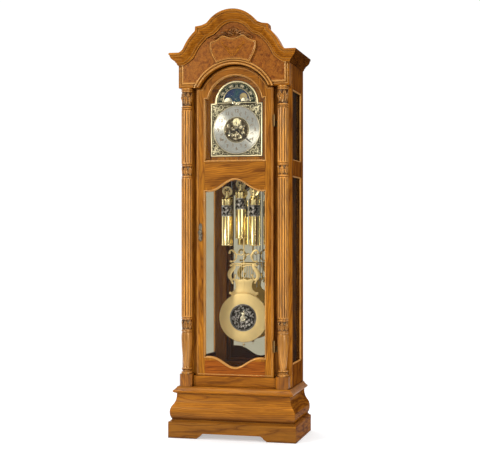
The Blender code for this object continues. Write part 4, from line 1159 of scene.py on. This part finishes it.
def on_ring(radius, turn, z=None):
    """Point at a clockwise angle from twelve o'clock."""
    return radius * math.sin(turn), (DIAL_Z if z is None else z) + radius * math.cos(turn)


def on_dial(name, parts, material, **finish):
    piece(name, bundle(parts), material, "case", "dial_brass", **finish)


def build_dial_edge():
    inset = 0.0040
    r = DIAL_ARCH - inset
    h = HALF_DIAL - inset
    outline = ([(-h, DIAL_LOW[2] + inset), (h, DIAL_LOW[2] + inset), (h, ARCH_BASE - inset),
                (r + 0.001, ARCH_BASE - inset)]
               + arc(0.0, ARCH_BASE, r, 0.0, math.pi, 44)
               + [(-r - 0.001, ARCH_BASE - inset), (-h, ARCH_BASE - inset)])
    section = half_round(0.0038, 0.0024, FACE_Y + 0.0002, 8)
    sill = bar((-r, ARCH_BASE + 0.0012), (r, ARCH_BASE + 0.0012), 0.0018, FACE_Y - 0.0022, FACE_Y)
    on_dial("dial_border", [moulding(outline, section), sill], BRASS_EDGE, angle=60)


def build_chapter():
    piece("chapter_ring", washer(0.0, DIAL_Z, CHAPTER_IN, CHAPTER_OUT, PLATE_Y, FACE_Y, 96),
          SILVER, "case", "dial_brass")
    rims = [hoop(0.0, DIAL_Z, CHAPTER_OUT - 0.0012, PLATE_Y, 0.0014, 96),
            hoop(0.0, DIAL_Z, CHAPTER_IN + 0.0012, PLATE_Y, 0.0012, 72),
            hoop(0.0, ARCH_BASE, 0.1080, FACE_Y - 0.0004, 0.0010, 56, start=0.02,
                 end=math.pi - 0.02)]
    on_dial("chapter_rims", rims, BRASS_EDGE)
    sockets = [disc(x, DIAL_Z + z, 0.0046, PLATE_Y - 0.0002, PLATE_Y + 0.0006, 16)
               for x, z in ((-0.074, -0.051), (0.074, -0.051))]
    marks = []
    for minute in range(60):
        turn = TAU * minute / 60
        thick = 0.0012 if minute % 5 == 0 else 0.0006
        marks.append(bar(on_ring(0.1175, turn), on_ring(0.1222, turn), thick,
                         PLATE_Y - 0.0002, PLATE_Y + 0.0002))
    for radius in (0.1172, 0.1225):
        marks.append(washer(0.0, DIAL_Z, radius, radius + 0.0005, PLATE_Y - 0.0002,
                            PLATE_Y + 0.0002, 72))
    for hour in range(1, 13):
        x, z = on_ring(0.0985, TAU * hour / 12)
        marks.append(lettering(str(hour), x, z, 0.0250, PLATE_Y))
        marks += raised(flourish(1), on_ring(0.074, TAU * (hour + 0.5) / 12),
                        math.pi / 2 - TAU * (hour + 0.5) / 12, 0.020, PLATE_Y, 0.7, 0.35)
    on_dial("chapter_numerals", marks, TAN_INK)
    on_dial("winding_sockets", sockets, BLACK)


def build_filigree():
    piece("dial_centre", disc(0.0, DIAL_Z, CHAPTER_IN, FACE_Y - 0.0007, FACE_Y, 64), DIAL_CAST,
          "case", "dial_brass")
    strokes = strewn(34, (0.0, DIAL_Z), 0.012, 0.054, 0.0175, FACE_Y - 0.0010, 3, 1.9)
    strokes.append(hoop(0.0, DIAL_Z, 0.0615, FACE_Y - 0.0008, 0.0008, 60))
    on_dial("centre_scrolls", strokes, BRASS_PALE, angle=60)
    strokes = []
    for sx in (1, -1):
        for sz in (1, -1):
            corner = (sx * 0.122, DIAL_Z + sz * 0.122)
            inward = math.atan2(-sz, -sx)
            for hand in (1, -1):
                strokes += raised(flourish(-hand), corner, inward + hand * math.pi / 4.6, 0.060,
                                  FACE_Y - 0.0004, 0.85, 0.6)
                strokes += raised(flourish(hand), (sx * 0.117, DIAL_Z + sz * 0.117),
                                  inward + hand * math.pi / 9, 0.030, FACE_Y - 0.0004, 1.0, 0.6)
                far = (sx * (0.124 - 0.068 * (hand > 0)),
                       DIAL_Z + sz * (0.124 - 0.068 * (hand < 0)))
                strokes += raised(flourish(hand * sx * sz), far, math.atan2(
                    -sz * (hand < 0), -sx * (hand > 0)), 0.026, FACE_Y - 0.0004, 0.9, 0.6)
            strokes.append(disc(sx * 0.1225, DIAL_Z + sz * 0.1225, 0.0052, FACE_Y - 0.0006,
                                FACE_Y, 14, dome=0.0012))
    on_dial("corner_scrolls", strokes, SPANDREL, angle=60)


def build_seconds():
    y = FACE_Y - 0.0012
    on_dial("seconds_dial", [disc(0.0, SECONDS_Z, 0.0200, y, FACE_Y, 40),
                             hoop(0.0, SECONDS_Z, 0.0193, y, 0.0010, 40)], GOLD_PALE)
    ticks = [bar(on_ring(0.0145, TAU * i / 12, SECONDS_Z), on_ring(0.0175, TAU * i / 12, SECONDS_Z),
                 0.0008, y - 0.0003, y + 0.0002) for i in range(12)]
    on_dial("seconds_ticks", ticks, TAN_INK)


def build_arch():
    y = FACE_Y - 0.0006
    rings = [[(d * math.cos(a), yy, ARCH_BASE + 0.0024 + d * math.sin(a))
              for d, yy in ((0.0735, FACE_Y), (0.0735, y), (0.1085, y), (0.1085, FACE_Y))]
             for a in [math.pi * i / 64 for i in range(65)]]
    piece("calendar_ring", loft(rings), GREEN, "case", "dial_brass")
    on_dial("moon_bezel", [
        hoop(0.0, MOON_SILL - 0.0015, 0.0735, FACE_Y - 0.0010, 0.0024, 48, start=0.03,
             end=math.pi - 0.03),
        hoop(0.0, ARCH_BASE, 0.1010, y, 0.0006, 56, start=0.04, end=math.pi - 0.04)],
        BRASS_EDGE)
    marks = []
    for i in range(30):
        turn = math.pi * (0.02 + 0.96 * i / 29)
        c, s = math.cos(turn), math.sin(turn)
        marks.append(bar((0.1020 * c, ARCH_BASE + 0.002 + 0.1020 * s),
                         (0.1055 * c, ARCH_BASE + 0.002 + 0.1055 * s), 0.0009, y - 0.0002, y))
    for i in range(18):
        turn = math.pi * (0.05 + 0.90 * i / 17)
        marks += raised(flourish(1 if i % 2 else -1), (0.078 * math.cos(turn), ARCH_BASE + 0.002
                                                      + 0.078 * math.sin(turn)),
                        turn + 0.6 * (-1) ** i, 0.0105, y, 1.0, 0.4)
    for i in range(9):
        turn = math.pi * (0.07 + 0.86 * i / 8)
        c, s = math.cos(turn), math.sin(turn)
        centre = (0.0885 * c, ARCH_BASE + 0.002 + 0.0885 * s)
        if i % 2:
            marks += raised(flourish(1), (centre[0] - 0.008 * s, centre[1] + 0.008 * c),
                            turn - math.pi / 2, 0.020, y, 1.1, 0.4)
            marks += raised(flourish(-1), (centre[0] + 0.008 * s, centre[1] - 0.008 * c),
                            turn + math.pi / 2, 0.020, y, 1.1, 0.4)
        else:
            marks.append(lettering(str(3 + i * 3), centre[0], centre[1], 0.0150, y))
    on_dial("calendar_marks", marks, CREAM_INK)
    domes = []
    for sign in (1, -1):
        outline = arc(sign * 0.045, MOON_SILL, 0.0220, 0.0, math.pi, 20)
        domes.append(slab(outline, FACE_Y - 0.0016, FACE_Y, 0.0014))
    on_dial("globe_humps", domes, GLOBE, angle=60)
    crest = []
    for sign in (1, -1):
        crest += raised(flourish(sign), (0.0, ARCH_BASE - 0.008), math.pi / 2 - sign * 1.15,
                        0.024, FACE_Y - 0.0018, 1.5, 0.7)
    crest.append(disc(0.0, ARCH_BASE - 0.0045, 0.0052, FACE_Y - 0.0014, FACE_Y, 16, dome=0.001))
    on_dial("dial_crest", crest, BRASS_PALE, angle=60)


def build_moon():
    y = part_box("moon_disc")[0][1]
    moons = [(0.046 * math.cos(turn), 0.046 * math.sin(turn)) for turn in (0.66, 0.66 + math.pi)]
    discs = [disc(x, MOON_Z + z, 0.0205, y - 0.0004, y, 36) for x, z in moons]
    piece("plain_moons", bundle(discs), MOON_GOLD, "moon", "moon_enamel")
    rng = random.Random(7)
    stars = []
    while len(stars) < 34:
        turn, reach = rng.uniform(0, TAU), rng.uniform(0.010, 0.070)
        x, z = reach * math.cos(turn), reach * math.sin(turn)
        if all(math.dist((x, z), moon) > 0.024 for moon in moons):
            stars.append(disc(x, MOON_Z + z, rng.choice((0.0007, 0.0010, 0.0014)), y - 0.0002,
                              y, 6))
    piece("moon_stars", bundle(stars), CREAM_INK, "moon", "moon_enamel")


def hand_strokes(reach, wide, eye):
    """Pierced serpentine hand along +u: (points, thickness in metres)."""
    strokes = []
    for side in (1, -1):
        strokes.append(([(eye, 0.0), (0.20, 0.55 * side * wide), (0.34, 0.12 * side * wide),
                         (0.50, 1.0 * side * wide), (0.66, 0.35 * side * wide), (0.74, 0.0)],
                        0.0019))
        strokes.append((scroll(0.60, 1.05 * side * wide, -math.pi / 2 * side, 0.8, wide * 0.5,
                               wide * 0.15, 8, side), 0.0014))
    strokes.append(([(0.66, 0.0), (0.80, 0.0), (1.0, 0.0)], 0.0028))
    return [(catmull([(u * reach, v * reach) for u, v in points], 3), thick)
            for points, thick in strokes]


def build_hand(name, clock_angle, reach, wide, eye, y, hub):
    angle = math.pi / 2 - clock_angle
    ca, sa = math.cos(angle), math.sin(angle)
    parts = []
    for points, thick in hand_strokes(reach, wide, eye / reach):
        place = [(u * ca - v * sa, y, DIAL_Z + u * sa + v * ca) for u, v in points]
        parts.append(tube(place, lambda t, w=thick: w * (1.0 - 0.55 * t), 6, flat=0.5))
    parts.append(hoop(0.0, DIAL_Z, eye * 0.80, y, eye * 0.24, 24, flat=0.4))
    parts.append(turned([(eye * 0.7, y + 0.0007), (eye * 0.7, y - 0.0006), (0.0028, y - hub),
                         (0.0003, y - hub - 0.0006)], (0.0, DIAL_Z), "Y", 20))
    piece(f"serpentine_{name}", bundle(parts), BLACK, name, "hand_black", [f"{name}_hand"])


build_dial_edge()
build_chapter()
build_filigree()
build_seconds()
build_arch()
build_moon()
HOUR_TURN = math.radians(251)
MINUTE_TURN = math.radians(131)
build_hand("hour", HOUR_TURN, 0.070, 0.11, 0.0070, -0.0950, 0.0009)
build_hand("minute", MINUTE_TURN, 0.104, 0.05, 0.0060, -0.0990, 0.0022)


# ---- door and side windows --------------------------------------------------------------------
DOOR_LOW, DOOR_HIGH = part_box("door_frame")
DOOR_FRONT = DOOR_LOW[1]
WINDOW_HALF = 0.161


def wave(x, reach, power):
    """Fall of a serpentine rail from 1 in the middle to 0 at reach."""
    t = min(abs(x) / reach, 1.0)
    return (0.5 + 0.5 * math.cos(math.pi * t)) ** power


def trunk_window():
    """Serpentine opening in front of the weights, anticlockwise from its lower left corner."""
    xs = [-WINDOW_HALF + 2 * WINDOW_HALF * i / 56 for i in range(57)]
    low = [(x, 0.4175 - 0.0535 * wave(x, 0.136, 1.15)) for x in xs]
    high = [(x, 1.280 + 0.061 * wave(x, 0.147, 1.20)) for x in reversed(xs)]
    return low + high


def dial_window():
    start = math.asin((1.762 - 1.735) / 0.1465)
    head = arc(0.0, 1.735, 0.1465, start, math.pi - start, 44)
    return ([(-WINDOW_HALF, 1.440), (WINDOW_HALF, 1.440), (WINDOW_HALF, 1.762)] + head
            + [(-WINDOW_HALF, 1.762)])


def door_edge(inset):
    """Outline of the door, drawn in by a distance."""
    half = DOOR_HIGH[0] - inset
    radius = 0.198 - inset
    start = math.asin((1.815 - inset - 1.7275) / radius)
    head = arc(0.0, 1.7275, radius, start, math.pi - start, 44)
    return ([(-half, DOOR_LOW[2] + inset), (half, DOOR_LOW[2] + inset), (half, 1.815 - inset)]
            + head + [(-half, 1.815 - inset)])


def build_door():
    ovolo = [(0.0036, -0.1161), (0.0036, -0.1185), (0.0016, -0.1205), (0.0002, -0.1245),
             (-0.0002, -0.1300), (-0.0012, -0.1318), (-0.0032, -0.1326), (-0.0052, -0.1318),
             (-0.0064, -0.1302), (-0.0064, -0.1292), (-0.0004, -0.1285), (-0.0001, -0.1161)]
    for name, outline in (("trunk", trunk_window()), ("dial", dial_window())):
        piece(f"{name}_window_bead", moulding(outline, ovolo), OAK_JAMB, "door", "oak_door",
              angle=50)
    quirk = half_round(0.0020, 0.0018, DOOR_FRONT + 0.0003)
    piece("door_edge_bead", moulding(door_edge(0.0075), quirk), OAK_JAMB, "door", "oak_door",
          angle=60)


def build_side_beads():
    """Glazing beads round the side windows; outline is drawn in the YZ plane."""
    for word, sign in (("left", -1), ("right", 1)):
        parts = []
        for low, high in ((0.380, 1.360), (1.440, 1.808)):
            corners = [(-0.072, low), (0.164, low), (0.164, high), (-0.072, high)]
            rings = []
            for (y, z), (sy, sz) in zip(corners, ((1, 1), (-1, 1), (-1, -1), (1, -1))):
                ring = []
                for inward, x in ((0.0001, 0.2838), (0.0060, 0.2838), (0.0060, 0.2862),
                                  (0.0040, 0.2900), (0.0012, 0.2925), (0.0001, 0.2930)):
                    ring.append((sign * x, y + sy * inward, z + sz * inward))
                rings.append(ring)
            rings.append(rings[0])
            parts.append(loft(rings, caps=False))
        piece(f"side_window_bead_{word}", bundle(parts), OAK_SIDE_BEAD, "case", "oak_sides")


def build_escutcheon():
    low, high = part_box("escutcheon")
    x, z, front = (low[0] + high[0]) / 2, (low[2] + high[2]) / 2, low[1]
    strokes = []
    for up in (1, -1):
        for hand in (1, -1):
            strokes += raised(flourish(hand), (x + hand * 0.001, z + up * 0.013),
                              up * math.pi / 2, 0.030, front, 0.8, 0.5)
    ring = [(a, front, b) for a, b in arc(x, z, 0.0062, 0, TAU, 20)[:-1]]
    strokes.append(tube(ring, 0.0011, 6, closed=True, flat=0.6))
    piece("escutcheon_scrolls", bundle(strokes), ANTIQUE, "door", "antique_brass", angle=60)


build_door()
build_side_beads()
build_escutcheon()

BEVELLED = {
    0.0022: ("plinth_front", "plinth_left", "plinth_right", "column_pedestal_left",
             "column_pedestal_right", "waist_deck"),
    0.0014: ("bombe_front", "bombe_left", "bombe_right", "door_frame", "face_frame",
             "side_frame_left", "side_frame_right", "crown_moulding", "cornice_left",
             "cornice_right", "pediment_board", "pediment_shield", "seat_board", "roof_board"),
    0.0004: ("escutcheon", "movement_frame")}
for width, names in BEVELLED.items():
    for node_name in names:
        soften = frame["nodes"][node_name].modifiers.new("soft_edges", "BEVEL")
        soften.width = width
        soften.segments = 2
        soften.limit_method = "ANGLE"
        soften.angle_limit = math.radians(50)


# ---- weights, pulleys and cables ----------------------------------------------------------------
def pierced(outlines, y_front, y_back):
    """Plate cut from XZ outlines; an outline inside another is a hole."""
    curve = bpy.data.curves.new("cut_plate", "CURVE")
    curve.dimensions = "2D"
    curve.fill_mode = "BOTH"
    curve.extrude = (y_back - y_front) / 2
    for outline in outlines:
        spline = curve.splines.new("POLY")
        spline.points.add(len(outline) - 1)
        for point, (x, z) in zip(spline.points, outline):
            point.co = (x, z, 0, 1)
        spline.use_cyclic_u = True
    points, faces = mesh_of(curve)
    middle = (y_front + y_back) / 2
    return [(v.co.x, middle - v.co.z, v.co.y) for v in points], faces


def build_weight(word):
    wheel_low, wheel_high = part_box(f"pulley_{word}")
    x = (wheel_low[0] + wheel_high[0]) / 2
    pulley_z = (wheel_low[2] + wheel_high[2]) / 2
    top = pulley_z - 0.041
    bottom = top - 0.246
    body = f"load_{word}"
    shell = [(0.0003, bottom - 0.0028), (0.0060, bottom - 0.0028), (0.0240, bottom - 0.0012),
             (0.0284, bottom + 0.0002), (0.0296, bottom + 0.0016), (0.0296, bottom + 0.0064),
             (0.0287, bottom + 0.0076), (0.0287, top - 0.0076), (0.0296, top - 0.0064),
             (0.0296, top - 0.0016), (0.0284, top - 0.0002), (0.0180, top + 0.0014),
             (0.0110, top + 0.0026), (0.0085, top + 0.0060), (0.0050, top + 0.0085),
             (0.0003, top + 0.0090)]
    cheek = both_sides([(0.0, top + 0.0030), (0.0105, top + 0.0030), (0.0090, top + 0.0090),
                        (0.0052, top + 0.0170), (0.0044, pulley_z - 0.0120)]
                       + arc(0.0, pulley_z, 0.0068, -0.6, math.pi / 2, 8))
    cheek = [(x + a, b) for a, b in cheek]
    parts = [turned(shell, (x, 0.0), "Z", 64)]
    for front in (-0.0064, 0.0052):
        parts.append(slab(cheek, front, front + 0.0012, 0.0003))
    parts.append(turned([(0.0003, -0.0086), (0.0026, -0.0082), (0.0036, -0.0064),
                         (0.0016, -0.0064), (0.0016, 0.0064), (0.0036, 0.0064),
                         (0.0026, 0.0082), (0.0003, 0.0086)], (x, pulley_z), "Y", 16))
    for sign in (1, -1):
        loop = catmull([(x + sign * a, 0.0, top + rise) for a, rise in (
            (0.0095, 0.004), (0.0165, 0.006), (0.0225, 0.0105), (0.0262, 0.0090),
            (0.0272, 0.0040))], 4)
        parts.append(tube(loop, lambda t: 0.0017 * (1.2 - 0.6 * t), 8))
    piece(f"weight_shell_{word}", bundle(parts), BRASS, body, "weight_brass",
          [f"weight_{word}"], angle=42)

    band_low, band_high = top - 0.091, top - 0.034
    sleeve = turned([(0.0286, band_low), (0.0291, band_low), (0.0291, band_high),
                     (0.0286, band_high)], (x, 0.0), "Z", 64, ring=True)
    piece(f"weight_sleeve_{word}", sleeve, DARK_CAST, body, "antique_brass")
    strokes = []
    rng = random.Random(11)
    around = 14
    step = TAU * 0.0291 / around
    for i in range(around):
        for row in (-0.0195, -0.0065, 0.0065, 0.0195):
            base = (step * (i + (0.5 if row * 1000 % 26 > 10 else 0.0)),
                    (band_low + band_high) / 2 + row)
            strokes += raised(flourish(rng.choice((1, -1))), base, rng.uniform(0, TAU), 0.0125, 0,
                              1.6, 0.7, (x, 0.0, 0.0292))
    for level in (band_low, band_low + 0.0035, band_high - 0.0035, band_high):
        strokes.append(turned([(0.0288 + 0.0008 * math.cos(TAU * k / 6),
                                level + 0.0008 * math.sin(TAU * k / 6)) for k in range(6)],
                              (x, 0.0), "Z", 48, ring=True))
    piece(f"weight_filigree_{word}", bundle(strokes), ANTIQUE_PALE, body, "antique_brass",
          angle=60)

    rim = turned([(0.0185, -0.0030), (0.0230, -0.0034), (0.0258, -0.0045), (0.0265, -0.0042),
                  (0.0264, -0.0030), (0.0236, -0.0010), (0.0236, 0.0010), (0.0264, 0.0030),
                  (0.0265, 0.0042), (0.0258, 0.0045), (0.0230, 0.0034), (0.0185, 0.0030)],
                 (x, pulley_z), "Y", 56, ring=True)
    holes = [arc(x + 0.0122 * math.cos(TAU * i / 5), pulley_z + 0.0122 * math.sin(TAU * i / 5),
                 0.0046, 0, TAU, 14)[:-1] for i in range(5)]
    web = pierced([arc(x, pulley_z, 0.0190, 0, TAU, 40)[:-1]] + holes
                  + [arc(x, pulley_z, 0.0018, 0, TAU, 12)[:-1]], -0.0014, 0.0014)
    hub = turned([(0.0018, -0.0042), (0.0040, -0.0042), (0.0052, -0.0030), (0.0052, 0.0030),
                  (0.0040, 0.0042), (0.0018, 0.0042)], (x, pulley_z), "Y", 20, ring=True)
    piece(f"pulley_wheel_{word}", bundle([rim, web, hub]), PULLEY_GOLD, f"sheave_{word}",
          "weight_brass", [f"pulley_{word}"], angle=40)

    cable_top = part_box(f"cable_{word}")[1][2]
    reach = 0.0245
    run = [(x - reach, 0.0, cable_top)]
    run += [(a, 0.0, b) for a, b in arc(x, pulley_z, reach, math.pi, TAU, 24)]
    run.append((x + reach, 0.0, cable_top))
    cable = piece(f"steel_cable_{word}", tube(run, 0.0007, 8, out=(0, -1, 0)), STEEL, None,
                  "cable_steel")
    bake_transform(cable)
    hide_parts(f"cable_{word}")


for place in PLACES:
    build_weight(place)


# ---- pendulum -----------------------------------------------------------------------------------
def build_lyre():
    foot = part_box("pendulum_lyre")[0][2]
    front, back = 0.0625, 0.0655
    middle = (front + back) / 2
    parts = []
    for sign in (1, -1):
        def lay(points, steps=4, sign=sign):
            return [(sign * a, middle, b) for a, b in catmull(points, steps)]
        parts.append(tube(lay([(0.079, 0.957), (0.077, 0.966), (0.066, 0.970), (0.053, 0.961),
                               (0.042, 0.942), (0.044, 0.927), (0.054, 0.914), (0.068, 0.910)]),
                          lambda t: 0.0056 - 0.0020 * abs(2 * t - 1), 8, flat=0.28))
        parts.append(tube(lay([(0.070, 0.890), (0.058, 0.893), (0.053, 0.886), (0.060, 0.872),
                               (0.073, 0.857), (0.079, 0.838), (0.074, 0.820), (0.061, 0.812),
                               (0.052, 0.820), (0.047, 0.836)]),
                          lambda t: 0.0042 + 0.0080 * math.sin(math.pi * min(t * 1.15, 1)) ** 2,
                          8, flat=0.22))
        parts.append(tube(lay([(0.074, 0.820), (0.068, 0.806), (0.062, 0.797)]), 0.0045, 8,
                          flat=0.35))
        parts.append(tube(lay([(0.044, 0.940), (0.030, 0.950), (0.014, 0.944), (0.004, 0.952)]),
                          0.0024, 6, flat=0.5))
        for a, b, size in ((0.079, 0.957, 0.0062), (0.072, 0.911, 0.0060), (0.072, 0.889, 0.0060),
                           (0.047, 0.838, 0.0058), (0.062, 0.796, 0.0062), (0.074, 0.741, 0.0078)):
            parts.append(turned([(0.0004, middle - 0.7 * size)]
                                + [(size * math.sin(math.pi * i / 8), middle
                                    - 0.7 * size * math.cos(math.pi * i / 8)) for i in range(1, 8)]
                                + [(0.0004, middle + 0.7 * size)],
                                (sign * a, b), "Y", 16))
    plate = both_sides([(0.0, 0.640), (0.070, 0.640), (0.070, 0.730), (0.073, 0.741),
                        (0.060, 0.750), (0.049, 0.760), (0.044, 0.775), (0.046, 0.795),
                        (0.056, 0.812), (0.040, 0.818), (0.020, 0.812), (0.0, 0.818)])
    parts.append(slab(plate, front + 0.0004, back - 0.0002, 0.0006))
    rod = [(-0.0040, 0.480), (0.0040, 0.480), (0.0040, 0.800), (0.0022, 0.815), (0.0022, 0.955),
           (0.0040, 0.965), (0.0040, 1.490), (-0.0040, 1.490), (-0.0040, 0.965),
           (-0.0022, 0.955), (-0.0022, 0.815), (-0.0040, 0.800)]
    parts.append(slab(rod, front + 0.0002, back, 0.0005))
    parts.append(washer(0.0, 1.500, 0.0026, 0.0070, front, back, 20))
    parts.append(bar((-0.068, 0.8985), (0.068, 0.8985), 0.0075, front, back))
    parts.append(tube([(a, middle, b) for a, b in catmull(
        [(-0.050, 0.886), (-0.025, 0.890), (0.0, 0.884), (0.025, 0.890), (0.050, 0.886)], 4)],
        0.0026, 6, flat=0.5))
    for index in range(-3, 4):
        parts.append(tube([(index * 0.012, middle, 0.812), (index * 0.012, middle, 0.897)],
                          0.0011, 6))
    parts.append(turned([(0.0014, foot), (0.0014, 0.490)], (0.0, middle), "Z", 12))
    piece("lyre_scrollwork", bundle(parts), BOB_BRASS, "pendulum", "pendulum_brass",
          ["pendulum_lyre"], angle=42)


def build_bob():
    low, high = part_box("pendulum_bob")
    z = (low[2] + high[2]) / 2
    profile = [(0.0003, 0.0620), (0.1280, 0.0620), (0.1312, 0.0606), (0.1324, 0.0585),
               (0.1320, 0.0530), (0.1308, 0.0508), (0.1290, 0.0499), (0.1275, 0.0502),
               (0.1266, 0.0500), (0.1180, 0.0490), (0.1060, 0.0479), (0.0920, 0.0469),
               (0.0760, 0.0462), (0.0740, 0.0465), (0.0732, 0.0480), (0.0003, 0.0480)]
    piece("bob_shell", turned(profile, (0.0, z), "Y", 112), BOB_BRASS, "pendulum",
          "pendulum_brass", ["pendulum_bob"], angle=34)
    piece("medallion_ground", disc(0.0, z, 0.0728, 0.0474, 0.0482, 64), DARK_CAST, "pendulum",
          "antique_brass")
    strokes = [hoop(0.0, z, 0.0718, 0.0470, 0.0013, 64), hoop(0.0, z, 0.0665, 0.0472, 0.0007, 64)]
    y = 0.0471
    strokes += strewn(64, (0.0, z), 0.022, 0.062, 0.0125, y, 5, 1.45)
    piece("medallion_scrolls", bundle(strokes), ANTIQUE_PALE, "pendulum", "antique_brass",
          angle=60)
    motif = [disc(0.0, z - 0.004, 0.0150, 0.0468, 0.0480, 28, dome=0.0006)]
    for sign in (1, -1):
        motif += raised(flourish(sign), (0.0, z + 0.004), math.pi / 2 - sign * 0.35, 0.026, 0.0464,
                        1.5, 0.8)
        motif += raised(flourish(sign), (sign * 0.002, z - 0.004), -math.pi / 2 + sign * 0.5,
                        0.020, 0.0462, 1.4, 0.8)
    for level, half in ((-0.006, 0.0150), (-0.010, 0.0130)):
        motif.append(bar((-half, z + level), (half, z + level), 0.0028, 0.0458, 0.0474))
    piece("medallion_motif", bundle(motif), BRASS_PALE, "pendulum", "antique_brass", angle=60)
    nut = turned([(0.0018, 0.4622), (0.0066, 0.4622), (0.0074, 0.4630), (0.0074, 0.4692),
                  (0.0066, 0.4700), (0.0018, 0.4700)], (0.0, 0.064), "Z", 72, ring=True,
                 relief=lambda a, h: -0.0004 * (0.5 + 0.5 * math.cos(24 * a))
                 if 0.4626 < h < 0.4696 else 0.0)
    piece("knurled_nut", nut, BRASS_SATIN, "nut", "movement_brass", ["rating_nut"], angle=50)


def build_mirror():
    """Mirror with a wide bevel down each side, in two flats."""
    low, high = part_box("back_mirror")
    half, front, back = high[0], low[1], high[1]
    rise = 0.0046
    section = [(-half, back), (-half, front), (-0.2160, front - rise * 0.62),
               (-0.1860, front - rise), (0.1860, front - rise), (0.2160, front - rise * 0.62),
               (half, front), (half, back)]
    rings = [[(x, y, z) for x, y in section] for z in (low[2], high[2])]
    piece("bevelled_mirror", loft(rings), MIRROR, "case", "mirror_glass", ["back_mirror"],
          angle=0.4)


build_lyre()
build_bob()
build_mirror()


# ---- camera, light and floor ----------------------------------------------------------------
def build_world():
    """White backdrop behind and to the left; the room is darker in front and to the right."""
    world = bpy.data.worlds.new("studio")
    world.use_nodes = True
    tree = world.node_tree
    place = tree.nodes.new("ShaderNodeTexCoord")
    split = tree.nodes.new("ShaderNodeSeparateXYZ")
    tree.links.new(place.outputs["Generated"], split.inputs[0])

    def step(axis, low, high, at_low, at_high):
        made = tree.nodes.new("ShaderNodeMapRange")
        made.interpolation_type = "SMOOTHSTEP"
        for index, value in enumerate((low, high, at_low, at_high), start=1):
            made.inputs[index].default_value = value
        tree.links.new(split.outputs[axis], made.inputs[0])
        return made.outputs[0]

    def combine(operation, a, b):
        made = tree.nodes.new("ShaderNodeMath")
        made.operation = operation
        tree.links.new(a, made.inputs[0])
        tree.links.new(b, made.inputs[1])
        return made.outputs[0]

    def both(a, b):
        return combine("MULTIPLY", a, b)

    backdrop = both(step("Y", -0.25, 0.05, 0.0, 1.05), step("X", -0.03, 0.09, 1.0, 0.0))
    room = step("Z", -0.1, 0.7, 0.13, 0.25)
    screen = both(step("Y", -0.90, -0.50, 0.56, 0.0), step("X", -0.20, -0.04, 1.0, 0.0))
    left_box = both(step("X", -0.74, -0.68, 0.0, 1.25), step("X", -0.46, -0.39, 1.0, 0.0))
    right_box = both(step("X", 0.36, 0.44, 0.0, 1.45), step("X", 0.88, 0.95, 1.0, 0.0))
    height = both(step("Z", -0.26, -0.18, 0.0, 1.0), step("Z", 0.24, 0.34, 1.0, 0.0))
    front = step("Y", -0.25, -0.15, 1.0, 0.0)
    boxes = both(both(height, front), combine("MAXIMUM", left_box, right_box))
    level = combine("MAXIMUM", backdrop, combine("MAXIMUM", room, screen))
    level = combine("MAXIMUM", level, boxes)
    sky = tree.nodes["Background"]
    sky.inputs[0].default_value = (1.0, 1.0, 1.0, 1.0)
    tree.links.new(level, sky.inputs[1])
    bpy.context.scene.world = world


FLOOR_HALF_SIDE = 1.75
FLOOR_DROP = 0.0005
LAMP_COLOUR = (1.0, 0.95, 0.87)
# name, place, aimed at, size in metres, watts
LAMPS = (("key", (-2.3, -3.5, 2.6), (0, 0, 1.1), (0.36, 1.1), 73.0),
         ("strip", (2.3, -2.9, 1.5), (0, 0, 1.1), (0.30, 2.4), 27.0),
         ("glint", (2.3, -2.9, 3.0), (0, 0, 1.4), (0.30, 0.30), 8.0),
         ("top", (0.0, 0.3, 4.6), (0, 0, 0.0), (4.0, 4.0), 190.0))
# the camera fitted to the photo's perspective
LENS, SENSOR, LENS_SHIFT = 85.05, 36.0, 0.0146
CAMERA_PLACE = (1.478, -5.8165, 1.068)
CAMERA_TURN = math.radians(14.3)


def build_stage():
    floor_mesh = bpy.data.meshes.new("floor")
    shape = bmesh.new()
    bmesh.ops.create_grid(shape, x_segments=1, y_segments=1, size=FLOOR_HALF_SIDE)
    shape.to_mesh(floor_mesh)
    shape.free()
    floor = bpy.data.objects.new("floor", floor_mesh)
    floor.location = (0, 0, -FLOOR_DROP)
    bpy.context.scene.collection.objects.link(floor)
    paint = Shader("floor_white")
    grain = paint.noise(paint.coords((6, 6, 6)), 1.0)
    paint.set(Base_Color=paint.ramp(grain, [(0.0, (0.60, 0.63, 0.68)), (1.0, (0.62, 0.65, 0.70))]),
              Roughness=0.85, Emission_Color=(1.0, 1.0, 1.0, 1.0), Emission_Strength=0.45)
    floor_mesh.materials.append(paint.material)
    build_world()
    bpy.context.scene.view_settings.view_transform = "Standard"

    for name, place, target, size, power in LAMPS:
        data = bpy.data.lights.new(name, "AREA")
        data.shape = "RECTANGLE"
        data.size, data.size_y = size
        data.energy = power
        data.color = LAMP_COLOUR
        lamp = bpy.data.objects.new(name, data)
        lamp.location = place
        aim = Vector(target) - Vector(place)
        lamp.rotation_euler = aim.to_track_quat("-Z", "Y").to_euler()
        bpy.context.scene.collection.objects.link(lamp)

    eye = bpy.data.cameras.new("camera")
    eye.lens, eye.sensor_width, eye.shift_y = LENS, SENSOR, LENS_SHIFT
    camera = bpy.data.objects.new("camera", eye)
    camera.location = CAMERA_PLACE
    camera.rotation_euler = (math.pi / 2, 0, CAMERA_TURN)
    bpy.context.scene.collection.objects.link(camera)
    bpy.context.scene.camera = camera


build_stage()
